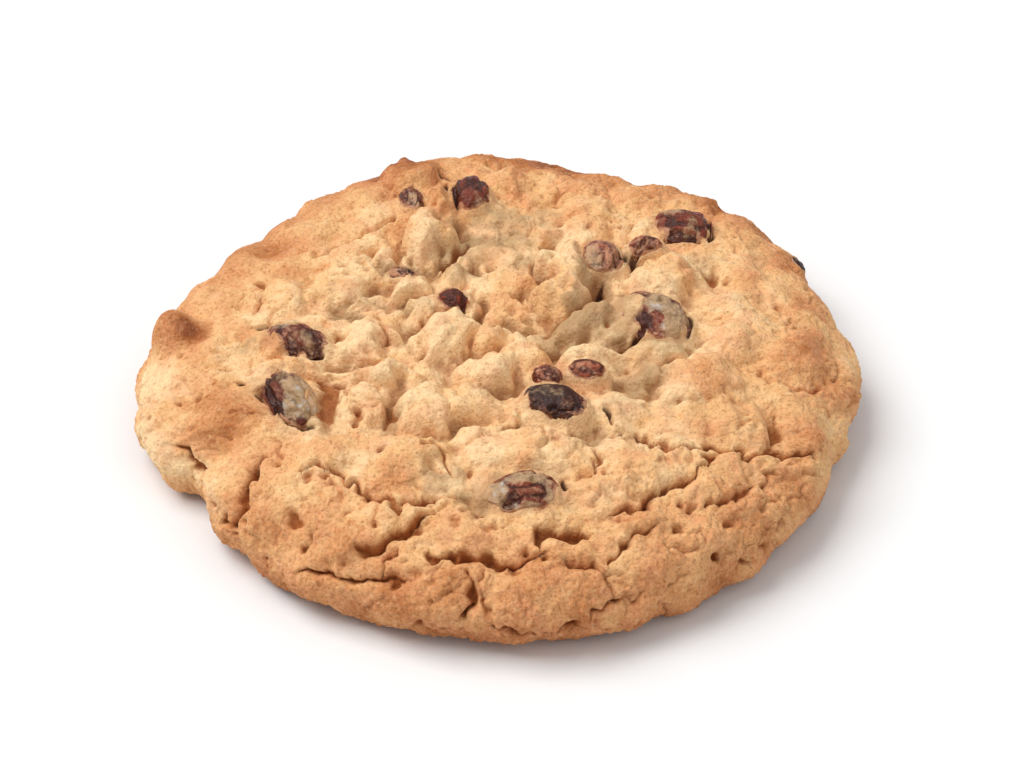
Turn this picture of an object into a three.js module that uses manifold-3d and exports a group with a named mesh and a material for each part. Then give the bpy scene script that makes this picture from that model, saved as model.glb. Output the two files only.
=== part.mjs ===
// An oatmeal raisin cookie: one thick, lumpy, cracked disc of baked dough, and the raisins that
// show in its top, each a separate solid that sits in its own socket. Millimetres, +Z up. The
// origin is on the underside, in the middle of the cookie, and +Y points to the back.
import * as THREE from 'three';
import { mergeVertices } from 'three/addons/utils/BufferGeometryUtils.js';
import Module from 'manifold-3d';

const wasm = await Module();
wasm.setup();

// ---- driving dimensions ----
const PLAN_RADIUS = 46.2; // mean radius seen from above
const DOME_HEIGHT = 14.6; // height of the middle before the lumps are added
const WIDEST_HEIGHT = 5; // height at which the side stands out furthest
const FOOT_INSET = 6; // how far the flat underside stays inside the widest outline
const SHOULDER_POWER = 3.5; // how far out the top stays level before it falls to the side
const SHOULDER_ROUNDING = 2.2; // how round the shoulder is
const PLAN_SHIFT = [0.22, 1.05]; // moves the middle of the uneven outline to the origin

const GRID_CELLS = 60; // cells across the dough's top and side
const SIDE_FADE = [52, 58]; // the relief fades out between these distances from the middle
const CREASE_SHARPNESS = 3; // per mm: how sharply two lumps meet
const SMALL_LUMPS = 170; // between and on the large ones, spread evenly by the golden angle
const SMALL_LUMP_REACH = 45; // no small lump lies further from the middle, so the rim is smooth
const SMALL_LUMP_LENGTH = [1.8, 3.4]; // half length, smallest and largest
const SMALL_LUMP_WIDTH = [0.6, 1]; // half width, as a part of the half length
const SMALL_LUMP_HEIGHT = [0.2, 0.5];
const MIDDLE_CENTRE = [0, 4]; // the lumps stand highest around this place on the top
const MIDDLE_FADE = [22, 34]; // and sink to those of the rim between these distances from it
const MIDDLE_GAIN = 1.55; // times the heights below
const MIDDLE_DROP = 1.1; // how far the creases between the lumps lie below the dome there
const RIM_GAIN = 0.65;
const CRACK_REACH = 0.45; // grid corners this near a crack, in cells, move onto it
const SOCKET_GAP = 0.3; // clear space between a raisin and its socket
const RAISIN_DETAIL = 2; // subdivisions of the icosahedron under each raisin
const WRINKLE_DEPTH = 0.13; // depth of a raisin's folds, as a part of its half thickness

const DOUGH_COLOUR = 0xe0ac74;
const RAISIN_COLOUR = 0x46201c;
const DOUGH_ROUGHNESS = 0.85;
const RAISIN_ROUGHNESS = 0.45;

// The outline's bulges and dents: [angle in degrees from +X, mm outwards, half width in degrees].
const BULGES = [
  [288, 2.4, 38],
  [190, 2.3, 17],
  [209, -3.4, 6],
  [138, -2.4, 20],
  [70, -1.9, 14],
  [101, 1.3, 10],
  [0, 1.4, 9],
  [34, 1.3, 8],
  [50, 0.8, 4],
  [240, 0.5, 14],
];

// Features of the top and side are placed on the unrolled skin: x and y are the distance from
// the middle, measured along the surface, in the direction that the feature lies in.

// The lumps of dough: [x, y, half length, half width, turn in degrees, height].
const LUMPS = [
  // back left rim and the pale lumps inside it
  [-36.5, 14, 10, 4.5, 89, 1.2],
  [-28, 24.5, 8.5, 4.5, 53, 1.3],
  [-19, 32, 5, 3.5, 40, 1.5],
  [-29, 7, 5.5, 3.5, 96, 1.8],
  [-22, 10.5, 6, 4.5, 66, 1.8],
  [-10.5, 19.5, 6.5, 4, 93, 2.6],
  [-12.5, 35.5, 5.5, 4, 141, 3.8],
  // back
  [-3, 39.5, 4, 3, 80, 2.2],
  [12.5, 35.5, 4.7, 4, 55, 1.6],
  [12.5, 27.5, 5, 3.5, 165, 1.5],
  [19.5, 32.5, 5, 4, 110, 1.4],
  [26.5, 30, 4, 3, 23, 1.5],
  // back right
  [32, 22.5, 5.8, 3.8, 100, 1.6],
  [32.5, 14, 4.2, 3.7, 80, 1.3],
  [38, 12, 5, 3.7, 89, 1.4],
  [41, 7.5, 6, 3, 72, 1.4],
  [22, 9.5, 6, 5, 35, 2.5],
  // middle
  [1.5, 7, 5.8, 3.4, 89, 1],
  [9, 9, 9, 3.7, 85, 3.2],
  [12, 0.5, 7, 2.5, 31, 2],
  [-7, -2.5, 5, 4, 60, 2.2],
  [3, -6, 3.5, 3, 90, 1.8],
  [12, -7, 5, 2.5, 16, 1.6],
  [-1.5, -9.5, 5, 3.4, 4, 1.8],
  [-9.5, -17.5, 5.7, 4.4, 93, 2.2],
  [-3.5, -16, 4.4, 3.5, 169, 1.9],
  [-17, -16.5, 3.7, 3, 56, 1.4],
  // left
  [-41.8, 1.4, 3.6, 3.7, 158, 6.2],
  [-41.5, 1.6, 2.7, 2.7, 158, 7.7],
  [-27.5, -8.5, 5.5, 2.2, 2, 2],
  [-36, -16.5, 6.2, 4, 73, 2.6],
  [-36, -27, 5.5, 3, 139, 1.8],
  [-28, -28, 4.2, 3.5, 127, 1.8],
  // right
  [31.5, 0, 5.7, 4.4, 32, 1.9],
  [38, -4, 5.9, 5.3, 56, 2.2],
  [26, -13, 9.4, 5.8, 76, 3],
  [39, -16, 5, 3, 33, 1.5],
  [16.5, -27.5, 5.3, 4.7, 98, 2.3],
  [27, -27, 5, 3.4, 34, 1.8],
  [39, -27.5, 7.5, 3.2, 43, 0.9],
  // front
  [-19.5, -24, 5.6, 3, 2, 2],
  [-12, -26, 5.2, 4.6, 165, 2.6],
  [-1.5, -24.5, 4.3, 3.5, 8, 1.7],
  [5.5, -24.5, 6.5, 4.6, 5, 2.4],
  [11, -32.5, 3.7, 2.8, 9, 1.5],
  [-14.5, -34.5, 4.2, 2, 18, 1.5],
  [-19.5, -37, 6.3, 3.4, 4, 1.7],
  [-11, -41.5, 3.8, 1.8, 1, 1.4],
  [8.5, -39.5, 4.7, 1.9, 5, 1.6],
  [5.5, -45.5, 7, 4, 6, 2.2],
  [17.5, -39.5, 4.6, 3.2, 25, 1.6],
];

// The main cracks: half width, depth, and the bends of each.
const CRACKS = [
  { halfWidth: 1.2, depth: 1.6, bends: [[-25, -26.5], [-18.5, -28.5], [-13.5, -32.5], [-6, -32.5]] },
  { halfWidth: 1.2, depth: 1.8, bends: [[-17, -39.5], [-13, -37.5], [-9.5, -35]] },
  { halfWidth: 1.4, depth: 1.9, bends: [[-8, -41], [0.5, -41.5], [5, -39.5], [10, -37]] },
  { halfWidth: 1.2, depth: 1.6, bends: [[-0.5, -49.5], [7.5, -49], [14.5, -44.5]] },
  { halfWidth: 1.1, depth: 1.4, bends: [[-3.5, -43.5], [-3, -46], [-4.5, -48]] },
  { halfWidth: 1.2, depth: 1.5, bends: [[13.5, -34], [19, -30], [26, -24.5]] },
  { halfWidth: 1.3, depth: 1.7, bends: [[17, -20.5], [21.5, -24], [31.5, -23], [40.5, -20.5]] },
  { halfWidth: 1.1, depth: 1.3, bends: [[25, -31.5], [31.5, -27.5]] },
  { halfWidth: 1.2, depth: 1.4, bends: [[-42, -18], [-43, -21], [-38.5, -28.5]] },
  { halfWidth: 1.4, depth: 1.8, bends: [[-30, -24.5], [-32.5, -29.5], [-34, -32.5]] },
  { halfWidth: 1.2, depth: 1.5, bends: [[-25.5, -40.5], [-17, -43.5], [-12, -43]] },
];

// The hollows: [x, y, half length, half width, turn in degrees, depth].
const HOLLOWS = [
  [-22.9, -15, 5, 2, 103, 1.6],
  [-25.5, -34, 2.2, 1.6, 143, 1],
  [28, 11.5, 2, 1.6, 94, 1],
  [35, -18.5, 3, 1.5, 80, 1.2],
];

// The raisins: place on the skin, half sizes [long, wide, thick], turn in degrees, lift of the
// raisin's middle and of the dough's edge around it, both over the smooth dome.
const RAISINS = [
  { name: 'raisin_back_centre', at: [-4.1, 28], half: [3.9, 2.9, 2.7], turn: 92, lift: 0.1, edge: 0.8 },
  { name: 'raisin_back_left', at: [-12.4, 28.2], half: [2.9, 1.7, 1.7], turn: -87, lift: 0.5, edge: 1 },
  { name: 'raisin_back_right', at: [24.7, 22.2], half: [4, 3.6, 2.8], turn: 0, lift: 0.2, edge: 1 },
  { name: 'raisin_ridge_centre', at: [13.5, 12.7], half: [3.6, 2.8, 2.6], turn: -82, lift: 0.9, edge: 1.7 },
  { name: 'raisin_ridge_right', at: [19.1, 15.8], half: [2.4, 1.9, 1.9], turn: 20, lift: 0.8, edge: 1.5 },
  { name: 'raisin_right', at: [19.7, 0.7], half: [5.2, 4, 3], turn: -42, lift: 0.3, edge: 1.1 },
  { name: 'raisin_rim_right', at: [40.9, 20.6], half: [1.9, 1.2, 1.2], turn: 116, lift: -0.1, edge: 0.7 },
  { name: 'raisin_left_upper', at: [-25.5, -3.1], half: [4.6, 2.9, 2.6], turn: -31, lift: 0, edge: 1 },
  { name: 'raisin_left_lower', at: [-28.8, -15.4], half: [5.2, 3.3, 2.9], turn: -67, lift: 0.1, edge: 0.9 },
  { name: 'raisin_middle_left', at: [5.8, -11.7], half: [2.1, 1.7, 1.7], turn: -40, lift: 1.1, edge: 1.5 },
  { name: 'raisin_middle_right', at: [10.8, -10.9], half: [2.6, 1.9, 1.8], turn: -6, lift: 1.1, edge: 1.5 },
  { name: 'raisin_middle_dark', at: [6.9, -16.4], half: [4.4, 2.9, 2.5], turn: -28, lift: 0.7, edge: 1.2 },
  { name: 'raisin_front', at: [2.8, -31.5], half: [5, 3, 2.7], turn: 11, lift: 0, edge: 0.8 },
  { name: 'raisin_under_flake', at: [-6.7, 5.3], half: [2.4, 2, 1.9], turn: -10, lift: -0.3, edge: 0.6 },
  { name: 'raisin_upper_left', at: [-13.9, 11.5], half: [2, 1.7, 1.6], turn: 0, lift: -0.4, edge: 0.6 },
];
const RAISIN_EDGE = [1.05, 1.7]; // the dough goes from the raisin's edge to its lumps between these

// ---- the smooth dome under the relief ----

function toRadians(degrees) {
  return THREE.MathUtils.degToRad(degrees);
}

/** Radius of the outline in the direction of an angle in radians. */
function planRadius(angle) {
  let radius = PLAN_RADIUS;
  for (const [centre, outwards, halfWidth] of BULGES) {
    const turn = THREE.MathUtils.euclideanModulo(angle - toRadians(centre) + Math.PI, 2 * Math.PI) - Math.PI;
    radius += outwards * Math.exp(-((turn / toRadians(halfWidth)) ** 2));
  }
  return radius;
}

/** The meridian from the middle of the top, over the widest ring, to the edge of the underside. */
function makeMeridian() {
  const steps = 200;
  const points = [];
  for (let i = 0; i <= steps; i += 1) {
    const part = 1 - (1 - i / steps) ** 2;
    const fall = (1 - part ** SHOULDER_POWER) ** (1 / SHOULDER_ROUNDING);
    points.push(new THREE.Vector2(part * PLAN_RADIUS, WIDEST_HEIGHT + (DOME_HEIGHT - WIDEST_HEIGHT) * fall));
  }
  for (let i = 1; i <= steps / 4; i += 1) {
    const angle = (i / (steps / 4)) * (Math.PI / 2);
    const inset = FOOT_INSET * (1 - Math.cos(angle));
    points.push(new THREE.Vector2(PLAN_RADIUS - inset, WIDEST_HEIGHT * (1 - Math.sin(angle))));
  }
  const lengths = [0];
  for (let i = 1; i < points.length; i += 1) {
    lengths.push(lengths[i - 1] + points[i].distanceTo(points[i - 1]));
  }
  return { points, lengths };
}

const MERIDIAN = makeMeridian();
const SKIN_LENGTH = MERIDIAN.lengths[MERIDIAN.lengths.length - 1];

/** Radius and height at a distance along the meridian. */
function meridianAt(distance) {
  const { points, lengths } = MERIDIAN;
  let low = 0;
  let high = lengths.length - 1;
  while (high - low > 1) {
    const middle = Math.floor((low + high) / 2);
    if (lengths[middle] <= distance) {
      low = middle;
    } else {
      high = middle;
    }
  }
  const part = Math.min((distance - lengths[low]) / (lengths[high] - lengths[low]), 1);
  return points[low].clone().lerp(points[high], part);
}

/** The point of the smooth dome under a place on the unrolled skin. */
function domePoint(x, y) {
  const distance = Math.hypot(x, y);
  const angle = Math.atan2(y, x);
  const { x: meanRadius, y: height } = meridianAt(distance);
  const radius = (meanRadius / PLAN_RADIUS) * planRadius(angle);
  const [shiftX, shiftY] = PLAN_SHIFT;
  return new THREE.Vector3(radius * Math.cos(angle) + shiftX, radius * Math.sin(angle) + shiftY, height);
}

/** Point, outward normal and the two directions along the skin, at a place on it. */
function domeFrame(x, y) {
  const reach = Math.hypot(x, y) + 1e-6;
  const step = 0.05;
  const inwards = reach > SKIN_LENGTH - step ? 1 - (2 * step) / reach : 1;
  const [u, v] = [x * inwards, y * inwards];
  const alongX = domePoint(u + step, v).sub(domePoint(u - step, v)).normalize();
  const alongY = domePoint(u, v + step).sub(domePoint(u, v - step));
  const normal = alongX.clone().cross(alongY).normalize();
  return { point: domePoint(x, y), normal, alongX, alongY: normal.clone().cross(alongX) };
}

// ---- the relief on the dome ----

/** Distance from a feature's middle, where its edge is 1. */
function ellipseDistance(x, y, [centreX, centreY, halfLength, halfWidth, turn]) {
  const cos = Math.cos(toRadians(turn));
  const sin = Math.sin(toRadians(turn));
  const [dx, dy] = [x - centreX, y - centreY];
  return Math.hypot((dx * cos + dy * sin) / halfLength, (dy * cos - dx * sin) / halfWidth);
}

/** A number from 0 to 1 that looks random but is the same in every run. */
function scatter(index, salt) {
  const wave = Math.sin(index * 12.9898 + salt * 78.233) * 43758.5453;
  return wave - Math.floor(wave);
}

function between([low, high], part) {
  return low + (high - low) * part;
}

/** The small lumps, in the same terms as the large ones. */
function makeSmallLumps() {
  const goldenAngle = Math.PI * (3 - Math.sqrt(5));
  const lumps = [];
  for (let i = 0; i < SMALL_LUMPS; i += 1) {
    const distance = SMALL_LUMP_REACH * Math.sqrt((i + scatter(i, 1)) / SMALL_LUMPS);
    const angle = i * goldenAngle;
    const halfLength = between(SMALL_LUMP_LENGTH, scatter(i, 2));
    const halfWidth = halfLength * between(SMALL_LUMP_WIDTH, scatter(i, 3));
    const turn = 180 * scatter(i, 4);
    const height = between(SMALL_LUMP_HEIGHT, scatter(i, 5));
    lumps.push([distance * Math.cos(angle), distance * Math.sin(angle), halfLength, halfWidth, turn, height]);
  }
  return lumps;
}

const ALL_LUMPS = [...LUMPS, ...makeSmallLumps()];

/** The lumps as rounded cushions, with a crease where two of them meet, lower towards the rim. */
function lumpHeight(x, y) {
  let sum = 1;
  for (const lump of ALL_LUMPS) {
    const distance = ellipseDistance(x, y, lump);
    if (distance < 1.5) {
      sum += Math.exp(CREASE_SHARPNESS * lump[5] * (1 - distance ** 3));
    }
  }
  const fromMiddle = Math.hypot(x - MIDDLE_CENTRE[0], y - MIDDLE_CENTRE[1]);
  const middle = 1 - THREE.MathUtils.smoothstep(fromMiddle, ...MIDDLE_FADE);
  const gain = THREE.MathUtils.lerp(RIM_GAIN, MIDDLE_GAIN, middle);
  return (Math.log(sum) / CREASE_SHARPNESS) * gain - MIDDLE_DROP * middle;
}

/** The point of a bent line that is nearest to a place. */
function nearestOnLine(x, y, bends) {
  const place = new THREE.Vector3(x, y, 0);
  const nearest = new THREE.Vector3(...bends[0], 0);
  for (let i = 1; i < bends.length; i += 1) {
    const stretch = new THREE.Line3(new THREE.Vector3(...bends[i - 1], 0), new THREE.Vector3(...bends[i], 0));
    const candidate = stretch.closestPointToPoint(place, true, new THREE.Vector3());
    if (candidate.distanceTo(place) < nearest.distanceTo(place)) {
      nearest.copy(candidate);
    }
  }
  return nearest;
}

/** Depth of the cracks and hollows at a place. */
function cutDepth(x, y) {
  let depth = 0;
  for (const { halfWidth, depth: full, bends } of CRACKS) {
    const nearest = nearestOnLine(x, y, bends);
    const part = Math.hypot(nearest.x - x, nearest.y - y) / halfWidth;
    depth = Math.max(depth, full * Math.exp(-(part ** 2)));
  }
  for (const hollow of HOLLOWS) {
    depth = Math.max(depth, hollow[5] * Math.exp(-(ellipseDistance(x, y, hollow) ** 2)));
  }
  return depth;
}

/** Height of the dough over the smooth dome. */
function relief(x, y) {
  let height = lumpHeight(x, y) - cutDepth(x, y);
  for (const { at, half, turn, edge } of RAISINS) {
    const distance = ellipseDistance(x, y, [...at, half[0], half[1], turn]);
    height = THREE.MathUtils.lerp(edge, height, THREE.MathUtils.smoothstep(distance, ...RAISIN_EDGE));
  }
  const fade = 1 - THREE.MathUtils.smoothstep(Math.hypot(x, y), ...SIDE_FADE);
  return height * fade;
}

function skinPoint(x, y) {
  const { point, normal } = domeFrame(x, y);
  return point.addScaledVector(normal, relief(x, y));
}

// ---- the solids ----

/** A square grid bent to a disc: cell corners on the unrolled skin, evenly spread. */
function gridPlace(column, row) {
  const u = (2 * column) / GRID_CELLS - 1;
  const v = (2 * row) / GRID_CELLS - 1;
  if (u === 0 && v === 0) {
    return [0, 0];
  }
  const wide = Math.abs(u) > Math.abs(v);
  const distance = SKIN_LENGTH * (wide ? u : v);
  const angle = wide ? (Math.PI / 4) * (v / u) : Math.PI / 2 - (Math.PI / 4) * (u / v);
  return [distance * Math.cos(angle), distance * Math.sin(angle)];
}

/** A grid corner, moved onto a crack that runs close by, so that the crack is one clean line. */
function skinPlace(column, row) {
  const [x, y] = gridPlace(column, row);
  const reach = (CRACK_REACH * 2 * SKIN_LENGTH) / GRID_CELLS;
  for (const { bends } of CRACKS) {
    const nearest = nearestOnLine(x, y, bends);
    if (Math.hypot(nearest.x - x, nearest.y - y) < reach) {
      return [nearest.x, nearest.y];
    }
  }
  return [x, y];
}

/** The grid's outer corners in order, which are the edge of the flat underside. */
function footRing(indexOf) {
  const ring = [];
  for (let i = 0; i < GRID_CELLS; i += 1) {
    ring.push(indexOf(i, 0));
  }
  for (let i = 0; i < GRID_CELLS; i += 1) {
    ring.push(indexOf(GRID_CELLS, i));
  }
  for (let i = GRID_CELLS; i > 0; i -= 1) {
    ring.push(indexOf(i, GRID_CELLS));
  }
  for (let i = GRID_CELLS; i > 0; i -= 1) {
    ring.push(indexOf(0, i));
  }
  return ring;
}

/** The whole dough before the sockets: the relief skin, closed by a flat underside. */
function makeDoughBlank() {
  const indexOf = (column, row) => row * (GRID_CELLS + 1) + column;
  const corners = [];
  for (let row = 0; row <= GRID_CELLS; row += 1) {
    for (let column = 0; column <= GRID_CELLS; column += 1) {
      corners.push(skinPoint(...skinPlace(column, row)));
    }
  }
  const faces = [];
  for (let row = 0; row < GRID_CELLS; row += 1) {
    for (let column = 0; column < GRID_CELLS; column += 1) {
      const [a, b] = [indexOf(column, row), indexOf(column + 1, row)];
      const [c, d] = [indexOf(column + 1, row + 1), indexOf(column, row + 1)];
      const acrossAC = corners[a].distanceTo(corners[c]) <= corners[b].distanceTo(corners[d]);
      faces.push(...(acrossAC ? [a, b, c, a, c, d] : [a, b, d, b, c, d]));
    }
  }
  const ring = footRing(indexOf);
  for (const index of ring) {
    corners[index].z = 0;
  }
  const footOutline = ring.map((index) => new THREE.Vector2(corners[index].x, corners[index].y));
  for (const [a, b, c] of THREE.ShapeUtils.triangulateShape(footOutline, [])) {
    faces.push(ring[a], ring[c], ring[b]);
  }
  const geometry = new THREE.BufferGeometry().setFromPoints(corners);
  geometry.setIndex(faces);
  return geometry;
}

/** A wrinkled raisin around its own middle, long in X and thin in Z, grown by a margin. */
function makeRaisin([long, wide, thick], seed, margin) {
  const ball = new THREE.IcosahedronGeometry(1, RAISIN_DETAIL);
  ball.deleteAttribute('normal');
  ball.deleteAttribute('uv');
  const geometry = mergeVertices(ball, 1e-4);
  const places = geometry.getAttribute('position');
  const direction = new THREE.Vector3();
  for (let i = 0; i < places.count; i += 1) {
    direction.fromBufferAttribute(places, i);
    const around = Math.atan2(direction.z, direction.y);
    const folds = Math.cos(5 * around + 3 * direction.x + seed) + Math.cos(4 * direction.x + 2 * around + 2 * seed);
    const size = 1 + (WRINKLE_DEPTH * folds * (1 - direction.x ** 2)) / 2;
    places.setXYZ(
      i,
      direction.x * (long * size + margin),
      direction.y * (wide * size + margin),
      direction.z * (thick * size + margin),
    );
  }
  return geometry;
}

/** Where a raisin sits: its middle over the dome, its long side turned along the skin. */
function raisinPlace({ at, turn, lift }) {
  const { point, normal, alongX, alongY } = domeFrame(...at);
  const long = alongX.multiplyScalar(Math.cos(toRadians(turn)));
  long.addScaledVector(alongY, Math.sin(toRadians(turn)));
  const wide = normal.clone().cross(long);
  return new THREE.Matrix4().makeBasis(long, wide, normal).setPosition(point.addScaledVector(normal, lift));
}

function toManifold(geometry) {
  const vertProperties = new Float32Array(geometry.getAttribute('position').array);
  const triVerts = new Uint32Array(geometry.getIndex().array);
  return new wasm.Manifold(new wasm.Mesh({ numProp: 3, vertProperties, triVerts }));
}

function toGeometry(solid) {
  const { vertProperties, triVerts } = solid.getMesh();
  const geometry = new THREE.BufferGeometry();
  geometry.setAttribute('position', new THREE.BufferAttribute(vertProperties, 3));
  geometry.setIndex(new THREE.BufferAttribute(triVerts, 1));
  return geometry;
}

/** The dough with a socket cut for each raisin. */
function makeDough() {
  let dough = toManifold(makeDoughBlank());
  RAISINS.forEach((raisin, index) => {
    const socket = makeRaisin(raisin.half, index, SOCKET_GAP).applyMatrix4(raisinPlace(raisin));
    dough = dough.subtract(toManifold(socket));
  });
  return toGeometry(dough);
}

function addPiece(group, name, geometry, material) {
  geometry.computeVertexNormals();
  const piece = new THREE.Mesh(geometry, material.clone());
  piece.name = name;
  group.add(piece);
  return piece;
}

const cookie = new THREE.Group();
const doughFinish = new THREE.MeshStandardMaterial({
  color: DOUGH_COLOUR,
  roughness: DOUGH_ROUGHNESS,
  metalness: 0,
});
const raisinFinish = new THREE.MeshStandardMaterial({
  color: RAISIN_COLOUR,
  roughness: RAISIN_ROUGHNESS,
  metalness: 0,
});

addPiece(cookie, 'dough', makeDough(), doughFinish);
RAISINS.forEach((raisin, index) => {
  const piece = addPiece(cookie, raisin.name, makeRaisin(raisin.half, index, 0), raisinFinish);
  piece.applyMatrix4(raisinPlace(raisin));
});

export default cookie;
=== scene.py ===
"""An oatmeal raisin cookie on a pale floor.

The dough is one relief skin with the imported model's dome, lumps and cracks, and each raisin is a
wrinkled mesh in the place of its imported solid. The tables are in millimetres on the unrolled skin:
x and y are measured along the surface from the middle of the top.
"""
import math

import bmesh
import bpy
import numpy as np
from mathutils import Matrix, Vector


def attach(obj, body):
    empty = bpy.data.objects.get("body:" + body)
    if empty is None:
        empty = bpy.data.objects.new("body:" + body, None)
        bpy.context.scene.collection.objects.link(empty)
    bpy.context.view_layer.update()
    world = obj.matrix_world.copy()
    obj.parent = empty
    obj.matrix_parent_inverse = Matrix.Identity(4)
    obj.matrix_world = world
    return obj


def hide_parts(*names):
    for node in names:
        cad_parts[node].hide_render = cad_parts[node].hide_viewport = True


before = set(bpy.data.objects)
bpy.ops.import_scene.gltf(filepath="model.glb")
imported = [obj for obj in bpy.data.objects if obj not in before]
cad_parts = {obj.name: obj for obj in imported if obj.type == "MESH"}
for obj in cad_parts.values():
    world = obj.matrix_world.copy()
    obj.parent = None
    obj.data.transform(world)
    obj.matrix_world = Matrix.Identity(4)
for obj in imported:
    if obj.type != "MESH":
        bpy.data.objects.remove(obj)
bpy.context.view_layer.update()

MM = 0.001

# ---- the dome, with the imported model's values ----
PLAN_RADIUS = 46.2
DOME_HEIGHT = 14.6
WIDEST_HEIGHT = 5
FOOT_INSET = 6
SHOULDER_POWER = 3.5
SHOULDER_ROUNDING = 2.2
PLAN_SHIFT = (0.22, 1.05)
SIDE_FADE = (52, 58)  # mm along the skin, where the relief ends on the side
CREASE_SHARPNESS = 3  # how narrow the crease is between two lumps
SMALL_LUMPS = 170
SMALL_LUMP_REACH = 45
SMALL_LUMP_LENGTH = (1.8, 3.4)
SMALL_LUMP_WIDTH = (0.6, 1)
SMALL_LUMP_HEIGHT = (0.2, 0.5)
MIDDLE_CENTRE = 4  # mm behind the middle of the top; the lumps are highest around it
MIDDLE_FADE = (22, 34)
MIDDLE_GAIN = 1.55
MIDDLE_DROP = 1.1
RIM_GAIN = 0.65

# Bulges and dents of the outline: angle in degrees, mm outwards, half width in degrees.
BULGES = [
    (288, 2.4, 38), (190, 2.3, 17), (209, -3.4, 6), (138, -2.4, 20), (70, -1.9, 14),
    (101, 1.3, 10), (0, 1.4, 9), (34, 1.3, 8), (50, 0.8, 4), (240, 0.5, 14),
]

# Large lumps of dough: x, y, half length, half width, turn in degrees, height.
LUMPS = [
    # back left
    (-36.5, 14, 10, 4.5, 89, 1.2), (-28, 24.5, 8.5, 4.5, 53, 1.3), (-19, 32, 5, 3.5, 40, 1.5),
    (-29, 7, 5.5, 3.5, 96, 1.8), (-22, 10.5, 6, 4.5, 66, 1.8), (-10.5, 19.5, 6.5, 4, 93, 2.6),
    (-12.5, 35.5, 5.5, 4, 141, 3.8),
    # back
    (-3, 39.5, 4, 3, 80, 2.2), (12.5, 35.5, 4.7, 4, 55, 1.6), (12.5, 27.5, 5, 3.5, 165, 1.5),
    (19.5, 32.5, 5, 4, 110, 1.4), (26.5, 30, 4, 3, 23, 1.5),
    # back right
    (32, 22.5, 5.8, 3.8, 100, 1.6), (32.5, 14, 4.2, 3.7, 80, 1.3), (38, 12, 5, 3.7, 89, 1.4),
    (41, 7.5, 6, 3, 72, 1.4), (22, 9.5, 6, 5, 35, 2.5),
    # middle
    (1.5, 7, 5.8, 3.4, 89, 1), (9, 9, 9, 3.7, 85, 3.2), (12, 0.5, 7, 2.5, 31, 2),
    (-7, -2.5, 5, 4, 60, 2.2), (3, -6, 3.5, 3, 90, 1.8), (12, -7, 5, 2.5, 16, 1.6),
    (-1.5, -9.5, 5, 3.4, 4, 1.8), (-9.5, -17.5, 5.7, 4.4, 93, 2.2), (-3.5, -16, 4.4, 3.5, 169, 1.9),
    (-17, -16.5, 3.7, 3, 56, 1.4),
    # left, first the knob on the rim
    (-41.8, 1.4, 3.6, 3.7, 158, 6.2), (-41.5, 1.6, 2.7, 2.7, 158, 7.7),
    (-27.5, -8.5, 5.5, 2.2, 2, 2), (-36, -16.5, 6.2, 4, 73, 2.6), (-36, -27, 5.5, 3, 139, 1.8),
    (-28, -28, 4.2, 3.5, 127, 1.8),
    # right
    (31.5, 0, 5.7, 4.4, 32, 1.9), (38, -4, 5.9, 5.3, 56, 2.2), (26, -13, 9.4, 5.8, 76, 3),
    (39, -16, 5, 3, 33, 1.5), (16.5, -27.5, 5.3, 4.7, 98, 2.3), (27, -27, 5, 3.4, 34, 1.8),
    (39, -27.5, 7.5, 3.2, 43, 0.9),
    # front
    (-19.5, -24, 5.6, 3, 2, 2), (-12, -26, 5.2, 4.6, 165, 2.6), (-1.5, -24.5, 4.3, 3.5, 8, 1.7),
    (5.5, -24.5, 6.5, 4.6, 5, 2.4), (11, -32.5, 3.7, 2.8, 9, 1.5), (-14.5, -34.5, 4.2, 2, 18, 1.5),
    (-19.5, -37, 6.3, 3.4, 4, 1.7), (-11, -41.5, 3.8, 1.8, 1, 1.4), (8.5, -39.5, 4.7, 1.9, 5, 1.6),
    (5.5, -45.5, 7, 4, 6, 2.2), (17.5, -39.5, 4.6, 3.2, 25, 1.6),
]

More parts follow.
